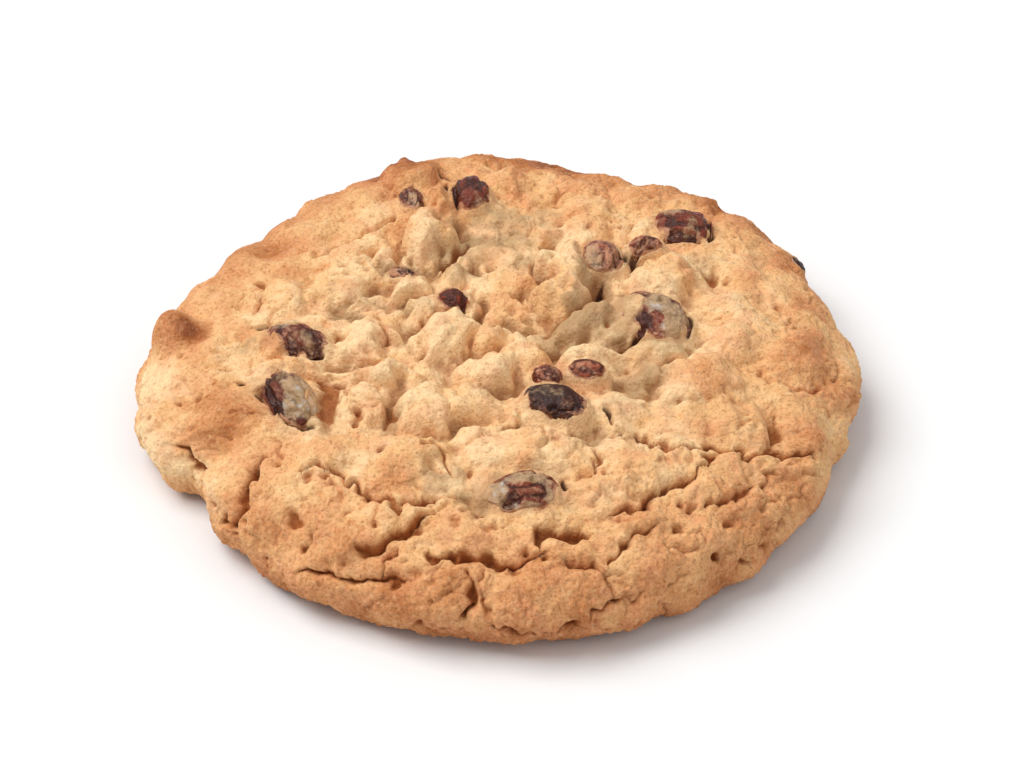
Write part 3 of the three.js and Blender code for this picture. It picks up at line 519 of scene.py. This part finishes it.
def draw_cracks(x, y):
    """Depth of the cracks, the step that each leaves in the dough, and how far its lip leans over."""
    depth, step = np.zeros_like(x), np.zeros_like(x)
    lean = np.zeros((2, *x.shape))
    uneven = np.clip(1 + 0.3 * noise(31, 4), 0.5, 1.7)
    for half_width, full, overhang, bends in [*CRACKS, *make_small_cracks(SMALL_CRACKS, 8)]:
        middle = np.mean(bends, axis=0)
        reach = max(math.dist(middle, bend) for bend in bends)
        part = window(*middle, reach + CRACK_MARGIN)
        signed, across_x, across_y = nearest_on_line(x[part], y[part], bends)
        width = 0.75 * half_width * uneven[part]
        cleft = 0.85 * full * np.exp(-(np.abs(signed / width) ** 3))
        hollow = 0.18 * full * np.exp(-((signed / (3 * width)) ** 2))
        depth[part] = np.maximum(depth[part], np.maximum(cleft, hollow))
        inner = np.exp(-((signed / 2) ** 2)) * smoothstep(-signed, -0.3, 0.3)
        outer = np.exp(-((signed / 1.6) ** 2)) * smoothstep(signed, -0.3, 0.3)
        step[part] += overhang * (0.5 * inner - 0.5 * outer)
        lean[0][part] += LIP_LEAN * overhang * inner * across_x
        lean[1][part] += LIP_LEAN * overhang * inner * across_y
    return depth, step, lean


def draw_pores(count, seed):
    """Small pits of the crust, most of them low on the side."""
    rng = np.random.default_rng(seed)
    depth = np.zeros_like(SKIN_X)
    for _ in range(count):
        distance = SKIN_LENGTH * 0.97 * rng.random() ** 0.34
        angle = rng.uniform(0, 2 * math.pi)
        size = 0.16 + 0.3 * rng.random() ** 2.5
        x, y = polar(distance, angle)
        half_length, turn = size * rng.uniform(1, 2), rng.uniform(0, 180)
        part, spread = near_spot(SKIN_X, SKIN_Y, (x, y, half_length, size, turn), 3 * size)
        depth[part] = np.maximum(depth[part], rng.uniform(0.6, 1.3) * size * np.exp(-(spread ** 2)))
    return depth


def draw_flakes(count, seed):
    """Rolled oats under the crust: thin tilted plates with one sharp end."""
    rng = np.random.default_rng(seed)
    height = np.zeros_like(SKIN_X)
    for _ in range(count):
        distance = 44 * math.sqrt(rng.random())
        angle = rng.uniform(0, 2 * math.pi)
        x, y = polar(distance, angle)
        half_length, half_width = rng.uniform(1.4, 2.6), rng.uniform(0.9, 1.6)
        turn, thickness = rng.uniform(0, 360), rng.uniform(0.1, 0.3)
        flake = (x, y, half_length, half_width, turn)
        part, spread = near_spot(SKIN_X, SKIN_Y, flake, 1.3 * half_length)
        cos, sin = polar(1, math.radians(turn))
        lengthwise = (SKIN_X[part] - x) * cos + (SKIN_Y[part] - y) * sin
        plate = thickness * (0.6 + 0.5 * lengthwise / half_length) * (1 - smoothstep(spread, 0.85, 1.12))
        height[part] = np.maximum(height[part], plate)
    return height


def nearness_of_fruit(x, y):
    """1 at the edge of each raisin and over it, 0 in the open dough."""
    near = np.zeros_like(x)
    for _, centre, half, turn, *_ in RAISINS:
        part, distance = near_spot(x, y, (*centre, *half[:2], turn), 2 * half[0])
        near[part] = np.maximum(near[part], 1 - smoothstep(distance, 1, 1.4))
    return near


def set_raisins_in(relief, x, y):
    """Lowers the dough under each raisin, gathers it at its edge and lets it creep over the fruit."""
    uneven = noise(41, 3)
    feathered = 0.1 + 0.06 * noise(42, 2.5)
    covers = patches(x, y, COVERS, 0.85, 1.1)
    for _, centre, half, turn, lift, edge, _, _ in RAISINS:
        part, distance = near_spot(x, y, (*centre, *half[:2], turn), 2 * half[0])
        brim = edge + 0.15 * uneven[part]
        level = relief[part] + (brim - relief[part]) * (1 - smoothstep(distance, 1, 1.45))
        sunk = edge - 1.6
        level = sunk + (level - sunk) * smoothstep(distance, 0.55, 0.78)
        fruit = lift + half[2] * np.sqrt(np.clip(1 - distance ** 2, 0, 1))
        meniscus = fruit + feathered[part] - 0.5 * smoothstep(1 - distance, 0.05, 0.17)
        meniscus -= 3 * smoothstep(1 - distance, 0.22, 0.4)
        level = np.where(distance < 1, np.maximum(level, meniscus), level)
        skin = np.maximum(fruit, level) + covers[part] + 0.06 * uneven[part]
        cover = smoothstep(covers[part], 0.02, 0.2)
        relief[part] = level + (np.maximum(level, skin) - level) * cover
    relief -= patches(x, y, GAPS, 0.6, 1.3)


def height_of_crumbs(x, y, rough, near, cracked):
    """Crumbs of three sizes, highest beside the cracks and low at the fruit."""
    amount = rough * (0.4 + 0.6 * smoothstep(noise(76, 8), -0.6, 0.9)) * (1 - 0.8 * near)
    amount *= 1 + 0.5 * smoothstep(blurred(cracked, 1), 0.03, 0.25)
    crumbs = 0.4 * cushions(3, 3.6, x, y) + 0.22 * cushions(4, 1.9, x, y) + 0.12 * cushions(5, 1, x, y)
    return amount * crumbs


def make_bake_and_shade_map(x, y, relief, middle, front, dips):
    """How brown the crust is, from 0 for cream to 1 for dark brown, with painted shade in the dips and at
    the front of the side.
    """
    high = relief - blurred(relief, 7)
    bake_and_shade = 0.1 + 0.3 * smoothstep(SKIN_DISTANCE, 30, 46)
    # the side browns towards the foot; the extra darkness at the front is painted shade on the side turned
    # away from the light
    bake_and_shade += 0.38 * smoothstep(SKIN_DISTANCE, 46, 57) * (0.4 + 0.6 * front)
    # the tops of the lumps brown more and the middle less; the dips are painted browner as painted shade
    bake_and_shade += 0.12 * smoothstep(high, 0.4, 2) * (1 - middle) - 0.09 * middle + 0.1 * dips
    # darker towards the back of the top
    bake_and_shade += 0.07 * smoothstep(SKIN_Y, 8, 26)
    bake_and_shade += 0.06 * noise(81, 9) + 0.03 * noise(82, 2.5)
    # the paler places include a painted pool of light on the left rim
    return bake_and_shade + 0.7 * patches(x, y, BROWNED, 0.3, 1.6) - patches(x, y, PALE_AND_LIT_PLACES, 0.3, 1.5)


def make_grey_and_shade_map(x, y, relief, middle, dips):
    """How far fruit and fat have turned the dough greyish, with painted shade low between the middle's
    lumps and in the dips.
    """
    valley = smoothstep(blurred(relief, 4) - relief, 0.3, 1.3)
    grey_and_shade = patches(x, y, GREYED, 0.3, 1.6) + 0.06 * noise(83, 3) + 0.4 * middle * valley
    return np.clip(grey_and_shade + 0.35 * dips, 0, 1)


def make_skin_maps():
    """Height of the relief, the lean of its lips, and the masks for the colour and painted shade of dough
    and fruit.
    """
    around_knob = patches(SKIN_X, SKIN_Y, KNOB_AREA, 0.8, 1.6)
    calm = 1 - around_knob
    x = SKIN_X + calm * (0.45 * noise(11, 7) + 0.25 * noise(12, 2.8))
    y = SKIN_Y + calm * (0.45 * noise(21, 7) + 0.25 * noise(22, 2.8))
    jag = [0.24 * noise(seed, 2.8) + 0.05 * noise(seed + 1, 1.2) for seed in (51, 61)]
    jagged = (SKIN_X + jag[0], SKIN_Y + jag[1])
    edge = (SKIN_X + 0.12 * noise(55, 3), SKIN_Y + 0.12 * noise(56, 3))

    depth, step, lean = draw_cracks(*jagged)
    cuts = np.maximum(depth, 0.8 * patches(*jagged, HOLLOWS, 0.4, 1.4))
    dips = patches(x, y, DIPS, 0, 1.5)
    front = smoothstep(-SKIN_Y / np.maximum(SKIN_DISTANCE, 1), -0.5, 0.3)
    middle = 1 - smoothstep(SKIN_DISTANCE, 20, 32)
    rough = np.clip(1 - patches(x, y, SMOOTH, 0.7, 1.3), 0.15, 1)
    near = nearness_of_fruit(SKIN_X, SKIN_Y)
    pores = draw_pores(PORES, 6) * (1 - near) * np.maximum(rough, 0.5)

    relief = lump_height(x, y) + 0.25 * noise(71, 11) + draw_flakes(OAT_FLAKES, 5) * rough
    relief += around_knob * (blurred(relief, 0.5) - relief)
    relief += height_of_crumbs(*jagged, rough, near, depth) - dips
    relief += step - cuts + 0.4 * middle * np.minimum(relief - blurred(relief, 2.5), 0)
    relief += 0.6 * np.minimum(relief - blurred(relief, 0.7), 0)
    set_raisins_in(relief, *edge)
    low = smoothstep(SKIN_DISTANCE, 38, 50) * front
    grain = (0.03 + 0.03 * low) * noise(74, 1.3) + (0.03 + 0.02 * low) * noise(75, 0.7)
    side_fade = 1 - smoothstep(SKIN_DISTANCE, *SIDE_FADE)
    foot_fade = 1 - smoothstep(SKIN_DISTANCE, SKIN_LENGTH - 2, SKIN_LENGTH - 0.5)
    relief = blurred(relief, 0.1) * side_fade + (grain * rough - pores) * foot_fade

    # painted shade: cracks, holes, pores and places lower than their surroundings are painted darker
    # brown, partly the darker dough inside them
    sunk = blurred(relief, 1.6) - relief
    cavity_shade = smoothstep(cuts, 0.3, 1.4) + 0.5 * smoothstep(sunk, 0.3, 1.1) + 1.4 * pores
    film = patches(*jagged, FILMS, 0.5, 1.3) - patches(*jagged, BARE, 0.7, 1.2)
    return {
        "relief": relief, "lean_x": lean[0], "lean_y": lean[1], "stain": near,
        "bake_and_shade": make_bake_and_shade_map(x, y, relief, middle, front, dips),
        "grey_and_shade": make_grey_and_shade_map(x, y, relief, middle, dips),
        "cavity_shade": np.clip(cavity_shade, 0, 1), "film": np.clip(film, 0, 1),
        "gaps": np.clip(patches(*edge, GAPS, 0.6, 1.3), 0, 1),
    }


def sample(field, x, y):
    """Values of a raster field between its cells."""
    column = np.clip((x + RASTER_REACH) / RASTER_STEP, 0, len(AXIS) - 1.001)
    row = np.clip((y + RASTER_REACH) / RASTER_STEP, 0, len(AXIS) - 1.001)
    c, r = column.astype(int), row.astype(int)
    fc, fr = column - c, row - r
    low = field[r, c] * (1 - fc) + field[r, c + 1] * fc
    high = field[r + 1, c] * (1 - fc) + field[r + 1, c + 1] * fc
    return low * (1 - fr) + high * fr


# ---- meshes ----

def disc_grid(cells):
    """A square grid bent to a disc of radius 1, its corners evenly spread."""
    axis = np.linspace(-1, 1, cells + 1)
    u, v = np.meshgrid(axis, axis)
    wide = np.abs(u) > np.abs(v)
    large, small = np.where(wide, u, v), np.where(wide, v, u)
    quarter = math.pi / 4 * small / np.where(large == 0, 1, large)
    angle = np.where(wide, quarter, math.pi / 2 - quarter)
    return (large * np.cos(angle)).ravel(), (large * np.sin(angle)).ravel()


def grid_faces(cells, first=0):
    corner = first + np.arange((cells + 1) ** 2).reshape(cells + 1, cells + 1)
    faces = [corner[:-1, :-1], corner[:-1, 1:], corner[1:, 1:], corner[1:, :-1]]
    return np.stack(faces, axis=-1).reshape(-1, 4)


def grid_ring(cells, first=0):
    """The grid's outer corners, once around."""
    corner = first + np.arange((cells + 1) ** 2).reshape(cells + 1, cells + 1)
    return np.concatenate([corner[0, :-1], corner[:-1, -1], corner[-1, :0:-1], corner[:0:-1, 0]])


def add_object(name, data):
    """An object of the scene that shows a mesh, camera or light."""
    made = bpy.data.objects.new(name, data)
    bpy.context.scene.collection.objects.link(made)
    return made


def make_object(name, points, faces, fields):
    """A smooth mesh object from points in mm, arrays of faces, and a value per point for each field."""
    mesh = bpy.data.meshes.new(name)
    corners = [face for part in faces for face in part.tolist()]
    mesh.from_pydata(points * MM, [], corners, shade_flat=False)
    for field, values in fields.items():
        layer = mesh.attributes.new(field, "FLOAT", "POINT")
        layer.data.foreach_set("value", values.astype(np.float32))
    mesh.validate()
    return add_object(name, mesh)


def make_underside():
    """The flat browned underside inside the foot's edge, with the shallow pits of the tray."""
    cells = TOP_CELLS // 2
    x, y = disc_grid(cells)
    distance = np.hypot(x, y)
    angle = np.arctan2(y, x)
    radius = distance * UNDERSIDE_SHARE * (PLAN_RADIUS - FOOT_INSET) / PLAN_RADIUS * plan_radius(angle)
    across, away = radius * np.cos(angle), radius * np.sin(angle)
    pits = np.clip(0.1 * noise(91, 1.2) + 0.12 * noise(92, 5), 0, 0.4)
    height = sample(pits, across, away) * (1 - smoothstep(distance, 0.9, 1))
    points = np.stack([across + PLAN_SHIFT[0], away + PLAN_SHIFT[1], height], axis=-1)
    fields = {field: np.zeros(len(points)) for field in DOUGH_FIELDS}
    fields["bake_and_shade"] += 0.72 + sample(0.07 * noise(93, 6) + 0.05 * noise(94, 1.5), across, away)
    # painted shade: the pits of the underside are painted darker
    fields["cavity_shade"] += 0.25 * smoothstep(height, 0.08, 0.35)
    return cells, points, fields


def make_dough(maps):
    """The top and side as one skin, and the underside joined to its foot by a ring of faces."""
    x, y = disc_grid(TOP_CELLS)
    x, y = x * SKIN_LENGTH, y * SKIN_LENGTH
    _, normal, _, _ = dome_frame(x, y)
    lean_x, lean_y = sample(maps["lean_x"], x, y), sample(maps["lean_y"], x, y)
    points = dome_point(x + lean_x, y + lean_y) + normal * sample(maps["relief"], x, y)[:, None]
    ring = grid_ring(TOP_CELLS)
    points[ring, 2] = 0
    cells, lower_points, lower_fields = make_underside()
    lower_ring = grid_ring(cells, len(points))
    next_lower = np.roll(lower_ring, -1)
    even, odd, after = ring[0::2], ring[1::2], np.roll(ring[0::2], -1)
    faces = [
        grid_faces(TOP_CELLS),
        grid_faces(cells, len(points))[:, ::-1],
        np.stack([odd, even, lower_ring], axis=-1),
        np.stack([after, odd, lower_ring, next_lower], axis=-1),
    ]
    fields = {field: np.append(sample(maps[field], x, y), lower_fields[field]) for field in DOUGH_FIELDS}
    return make_object("baked_dough", np.concatenate([points, lower_points]), faces, fields)


def lattice_noise(points, seed):
    """Smooth seeded noise in space, about -1 to 1, with waves of about 2 units."""
    rng = np.random.default_rng(seed)
    values = rng.uniform(-1, 1, (16, 16, 16))
    base = np.floor(points).astype(int)
    part = points - base
    part = part * part * (3 - 2 * part)
    total = np.zeros(len(points))
    for corner in np.ndindex(2, 2, 2):
        weight = np.prod(np.where(corner, part, 1 - part), axis=1)
        total += weight * values[tuple((base + corner).T % 16)]
    return total


def make_ball(subdivisions):
    """Points and triangles of an even ball of radius 1."""
    ball = bmesh.new()
    bmesh.ops.create_icosphere(ball, subdivisions=subdivisions, radius=1)
    points = np.array([vertex.co for vertex in ball.verts])
    faces = np.array([[vertex.index for vertex in face.verts] for face in ball.faces])
    ball.free()
    return points, faces


BALL_POINTS, BALL_FACES = make_ball(BALL_SUBDIVISIONS)


def wrinkled_ball(seed):
    """Points of a folded and wrinkled ball of about radius 1, and the height of the folds."""
    ball = BALL_POINTS
    wander = np.stack([lattice_noise(ball * 1.4 + 5 * axis, seed + axis) for axis in range(3)], axis=-1)
    stretched = (ball + 0.3 * wander) * np.array([0.5, 1, 1])
    long_folds = np.abs(lattice_noise(stretched * 2.5 + 3, seed + 3))
    tilted = stretched @ np.array([[0.8, 0.6, 0], [-0.6, 0.8, 0], [0, 0, 1]])
    wrinkles = np.abs(lattice_noise(tilted * 7 + 7, seed + 4))
    creases = lattice_noise(ball * 14 + 9, seed + 5)
    body = 1 + 0.08 * lattice_noise(ball * 1.5 + 2, seed + 6)
    fold = 0.17 * np.minimum(long_folds, 0.6) + 0.07 * np.minimum(wrinkles, 0.6)
    sharpness = 0.35 + 0.65 * smoothstep(ball[:, 2], 0.2, 0.5)
    size = body + 0.02 + sharpness * (fold - 0.07 + 0.012 * creases)
    return ball * size[:, None], fold


def make_raisin(index, raisin, maps):
    """A dried grape: an uneven ball with long folds, short wrinkles between them and a pale film."""
    name, centre, half, turn, lift, _, redness, dust = raisin
    seed = 200 + 10 * index
    shape, fold = wrinkled_ball(seed)
    local = shape * np.array(half)
    cos, sin = polar(1, math.radians(turn))
    skin_x = centre[0] + cos * local[:, 0] - sin * local[:, 1]
    skin_y = centre[1] + sin * local[:, 0] + cos * local[:, 1]
    gaps = sample(maps["gaps"], skin_x, skin_y)
    local[:, 2] -= 0.7 * gaps * smoothstep(local[:, 2], 0, 0.5 * half[2])

    place = dome_frame(*np.array(centre, float)[:, None])
    point, normal, along_x, along_y = [part[0] for part in place]
    long_way = cos * along_x + sin * along_y
    directions = np.stack([long_way, np.cross(normal, long_way), normal])
    points = point + normal * lift + local @ directions

    ball = BALL_POINTS
    bloom = 0.5 * lattice_noise(ball * 2.5 + 4, seed + 7) + 0.3 * lattice_noise(ball * 8, seed + 8)
    film = sample(maps["film"], skin_x, skin_y)
    ridge = (fold - 0.045) / 0.1
    above = lift + local[:, 2] - sample(maps["relief"], skin_x, skin_y)
    meeting = 0.75 * (1 - smoothstep(above, 0, 0.5))
    fields = {
        "film": np.clip(film + 0.15 * bloom * (film > 0.05), 0, 1),
        # more dust on the ridges, with a painted highlight along them
        "dust": np.clip(np.maximum(dust * (0.6 + bloom + 0.5 * ridge), meeting), 0, 1),
        "redness": np.clip(redness + 0.25 * lattice_noise(ball * 2 + 6, seed + 9), 0, 1),
        # low values are painted near black in the finish: painted shade in the creases and gaps
        "fold": np.clip(ridge - gaps, 0, 1),
    }
    return make_object("wrinkled_" + name, points, [BALL_FACES], fields)


# ---- materials ----

def srgb(red, green, blue):
    """A display colour, 0 to 255, as the linear colour that shaders take."""
    channels = [red / 255, green / 255, blue / 255]
    return (*[c / 12.92 if c <= 0.04045 else ((c + 0.055) / 1.055) ** 2.4 for c in channels], 1)


class Finish:
    """A material's node tree, with a short call for each kind of node used here."""

    def __init__(self, name):
        self.material = bpy.data.materials.new(name)
        self.material.use_nodes = True
        self.tree = self.material.node_tree
        self.shader = self.tree.nodes["Principled BSDF"]

    def feed(self, socket, value):
        """Links an output to a socket, or sets a plain number or colour on it."""
        if isinstance(value, bpy.types.NodeSocket):
            self.tree.links.new(value, socket)
        else:
            socket.default_value = value

    def shade(self, name, value):
        self.feed(self.shader.inputs[name], value)

    def node(self, kind, sockets, **settings):
        """A node with its settings, and its sockets fed by their name or number."""
        made = self.tree.nodes.new(kind)
        for key, value in settings.items():
            setattr(made, key, value)
        for key, value in sockets.items():
            self.feed(made.inputs[key], value)
        return made

    def field(self, name):
        return self.node("ShaderNodeAttribute", {}, attribute_name=name).outputs["Fac"]

    def texture(self, kind, size_mm, sockets):
        """A texture over the object's own space, with waves or cells of a size in mm."""
        place = self.node("ShaderNodeTexCoord", {}).outputs["Object"]
        return self.node(kind, {"Vector": place, "Scale": 1 / (size_mm * MM), **sockets})

    def noise(self, size_mm, detail=3.0, roughness=0.5):
        sockets = {"Detail": detail, "Roughness": roughness}
        return self.texture("ShaderNodeTexNoise", size_mm, sockets).outputs["Fac"]

    def cells(self, size_mm):
        """Distance to the middle of the nearest of many cells, in cell sizes."""
        return self.texture("ShaderNodeTexVoronoi", size_mm, {}).outputs["Distance"]

    def sum(self, first, second, scale):
        """first + second * scale"""
        sockets = {0: second, 1: scale, 2: first}
        return self.node("ShaderNodeMath", sockets, operation="MULTIPLY_ADD").outputs[0]

    def range(self, value, low, high, to_low=0.0, to_high=1.0):
        sockets = {0: value, 1: low, 2: high, 3: to_low, 4: to_high}
        return self.node("ShaderNodeMapRange", sockets, interpolation_type="SMOOTHSTEP").outputs[0]

    def ramp(self, value, stops):
        made = self.node("ShaderNodeValToRGB", {"Fac": value})
        elements = made.color_ramp.elements
        while len(elements) < len(stops):
            elements.new(0.5)
        for element, (place, colour) in zip(elements, stops):
            element.position = place
            element.color = colour
        return made.outputs["Color"]

    def mix(self, amount, first, second):
        sockets = {"Factor": amount, 6: first, 7: second}
        return self.node("ShaderNodeMix", sockets, data_type="RGBA").outputs[2]

    def tinted(self, base, tints):
        """Lays colours over a base: none of each where its value is low, most where it is high."""
        for colour, value, low, high, most in tints:
            base = self.mix(self.range(value, low, high, 0, most), base, colour)
        return base

    def bump(self, height, depth_mm):
        sockets = {"Strength": 1, "Distance": depth_mm * MM, "Height": height}
        return self.node("ShaderNodeBump", sockets).outputs["Normal"]

    def glow(self, weight, radius):
        """Lets light spread under the surface, in mm for red, green and blue."""
        self.shade("Subsurface Weight", weight)
        self.shade("Subsurface Radius", radius)
        self.shade("Subsurface Scale", MM)


CREAM = srgb(247, 211, 161)
GOLD = srgb(237, 186, 129)
TAN = srgb(218, 154, 101)
BROWN = srgb(180, 110, 60)
DARK_BROWN = srgb(134, 72, 38)
ROSY = srgb(226, 152, 110)
FLOUR = srgb(248, 214, 166)
CREVICE_SHADE_BROWN = srgb(156, 84, 32)
# greyed dough, darkened further as painted shade
GREYISH_AND_SHADE = srgb(177, 141, 99)
STAIN = srgb(190, 142, 100)
PORE = srgb(154, 90, 42)
GAP_SHADE_DARK = srgb(66, 27, 12)


def make_dough_finish():
    finish = Finish("baked oat dough")
    bake_and_shade = finish.field("bake_and_shade")
    tone = finish.sum(bake_and_shade, finish.noise(2.2, 4, 0.6), 0.2)
    tone = finish.sum(tone, finish.noise(0.5, 2), 0.12)
    crust = finish.ramp(tone, [(0.15, CREAM), (0.38, GOLD), (0.62, TAN), (0.88, BROWN), (1, DARK_BROWN)])
    grey_and_shade = finish.sum(finish.field("grey_and_shade"), finish.noise(1.4), 0.6)
    pores = finish.sum(finish.noise(0.42, 2, 0.6), bake_and_shade, 0.12)
    crust = finish.tinted(crust, [
        (ROSY, finish.noise(3.5), 0.42, 0.68, 0.36),
        (BROWN, finish.noise(0.9), 0.5, 0.75, 0.3),
        (FLOUR, finish.noise(0.6, 2), 0.5, 0.75, 0.25),
        # the greying of fruit and fat, with painted shade in the valleys and dips of the middle
        (GREYISH_AND_SHADE, grey_and_shade, 0.35, 1.3, 0.9),
        (STAIN, finish.sum(finish.field("stain"), finish.noise(1.2), 0.7), 0.6, 1.4, 0.4),
        (PORE, pores, 0.52, 0.82, 0.66),
        # painted shade in the cracks, holes, pores and low places, partly the darker dough inside them
        (CREVICE_SHADE_BROWN, finish.field("cavity_shade"), 0, 1, 0.88),
        # painted shade: the dough in the deep gaps is painted near black, dark as fruit skin in shadow
        (GAP_SHADE_DARK, finish.field("gaps"), 0.2, 0.9, 0.85),
    ])
    damp = finish.range(grey_and_shade, 0.35, 1.3, 0, 0.9)
    finish.shade("Base Color", crust)
    finish.shade("Roughness", finish.range(damp, 0, 1, 0.8, 0.45))
    crumbs = finish.sum(finish.noise(0.5, 3, 0.6), finish.cells(0.9), -0.4)
    finish.shade("Normal", finish.bump(finish.sum(crumbs, pores, -0.4), 0.33))
    finish.shade("Specular IOR Level", 0.25)
    finish.glow(0.15, (1, 0.75, 0.5))
    return finish.material


def make_raisin_finish():
    finish = Finish("dried raisin skin")
    red = finish.mix(finish.field("redness"), srgb(46, 18, 12), srgb(144, 56, 28))
    fold = finish.field("fold")
    film = finish.sum(finish.field("film"), finish.noise(0.6, 4, 0.65), 1.5)
    pale = finish.tinted(srgb(194, 160, 120), [
        (srgb(208, 196, 182), finish.noise(1.6), 0.52, 0.72, 1),
        (srgb(138, 104, 78), finish.noise(0.9), 0.5, 0.7, 0.5),
    ])
    skin = finish.tinted(red, [(srgb(86, 31, 17), finish.noise(1.1), 0.4, 0.65, 0.6)])
    # painted shade: the skin turns near black in the creases between the folds and where it dips into a
    # gap, partly the skin's own darker creases
    skin = finish.mix(finish.range(fold, 0, 0.5, 0.7, 0), skin, srgb(34, 13, 6))
    dust = finish.sum(finish.field("dust"), finish.noise(0.45, 3, 0.6), 0.9)
    skin = finish.tinted(skin, [
        (srgb(206, 150, 114), dust, 0.6, 1.15, 0.8),
        # more pale film on the ridges, with a painted highlight along them
        (pale, finish.sum(film, fold, 0.2), 0.95, 1.8, 0.84),
    ])
    finish.shade("Base Color", skin)
    finish.shade("Roughness", finish.range(finish.noise(0.8, 2), 0.35, 0.65, 0.25, 0.5))
    finish.shade("Normal", finish.bump(finish.noise(0.5, 3, 0.6), 0.35))
    finish.shade("Specular IOR Level", 0.35)
    finish.glow(0.06, (1, 0.2, 0.1))
    return finish.material


# ---- camera, floor and light ----

VIEW_ELEVATION = 39.5
LENS = 135
SENSOR = 36
IMAGE_WIDTH = 1024
SUBJECT_WIDTH = 96  # mm, which fills SUBJECT_PIXELS of the image
SUBJECT_PIXELS = 719
AIM_HEIGHT = 7
AIM_RIGHT, AIM_DOWN = 1.54, 1.87  # mm: the cookie stands a little left of and above the middle
FLOOR_HALF = 3  # m


def make_camera():
    camera = add_object("camera", bpy.data.cameras.new("camera"))
    camera.data.lens = LENS
    camera.data.sensor_width = SENSOR
    distance = LENS / SENSOR * IMAGE_WIDTH * SUBJECT_WIDTH / SUBJECT_PIXELS
    elevation = math.radians(VIEW_ELEVATION)
    back = Vector((0, -math.cos(elevation), math.sin(elevation)))
    up = Vector((0, math.sin(elevation), math.cos(elevation)))
    aim = Vector((*PLAN_SHIFT, AIM_HEIGHT)) + Vector((AIM_RIGHT, 0, 0)) - up * AIM_DOWN
    camera.location = (aim + back * distance) * MM
    camera.rotation_euler = back.to_track_quat("Z", "Y").to_euler()
    camera.data.clip_start = 0.01
    bpy.context.scene.camera = camera


def make_floor():
    points = np.array([(-1, -1, 0), (1, -1, 0), (1, 1, 0), (-1, 1, 0)]) * FLOOR_HALF / MM
    floor = make_object("floor", points, [np.array([[0, 1, 2, 3]])], {})
    finish = Finish("pale floor")
    finish.shade("Base Color", (0.84, 0.84, 0.84, 1))
    finish.shade("Roughness", 0.9)
    finish.shade("Specular IOR Level", 0.1)
    floor.data.materials.append(finish.material)


def make_light(name, place, size, power):
    """A square soft light at a place in metres that points at the cookie."""
    light = bpy.data.lights.new(name, "AREA")
    light.size = size
    light.energy = power
    lamp = add_object(name, light)
    lamp.location = place
    lamp.rotation_euler = Vector(place).to_track_quat("Z", "Y").to_euler()


def make_lights():
    make_light("key", (-1.02, 0.18, 1.66), 1.5, 35.8)
    make_light("back", (0.3, 1.2, 1.6), 1.6, 2)
    make_light("fill", (1, -0.7, 1.3), 1.6, 5.5)
    world = bpy.data.worlds.new("studio")
    world.use_nodes = True
    background = world.node_tree.nodes["Background"]
    background.inputs["Color"].default_value = (1, 1, 1, 1)
    background.inputs["Strength"].default_value = 0.45
    bpy.context.scene.world = world
    bpy.context.scene.view_settings.view_transform = "Standard"


make_camera()
make_floor()
make_lights()

skin_maps = make_skin_maps()
dough = make_dough(skin_maps)
dough.data.materials.append(make_dough_finish())
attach(dough, "root")
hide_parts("dough")

raisin_finish = make_raisin_finish()
for index, raisin in enumerate(RAISINS):
    fruit = make_raisin(index, raisin, skin_maps)
    fruit.data.materials.append(raisin_finish)
    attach(fruit, "root")
    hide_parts(raisin[0])
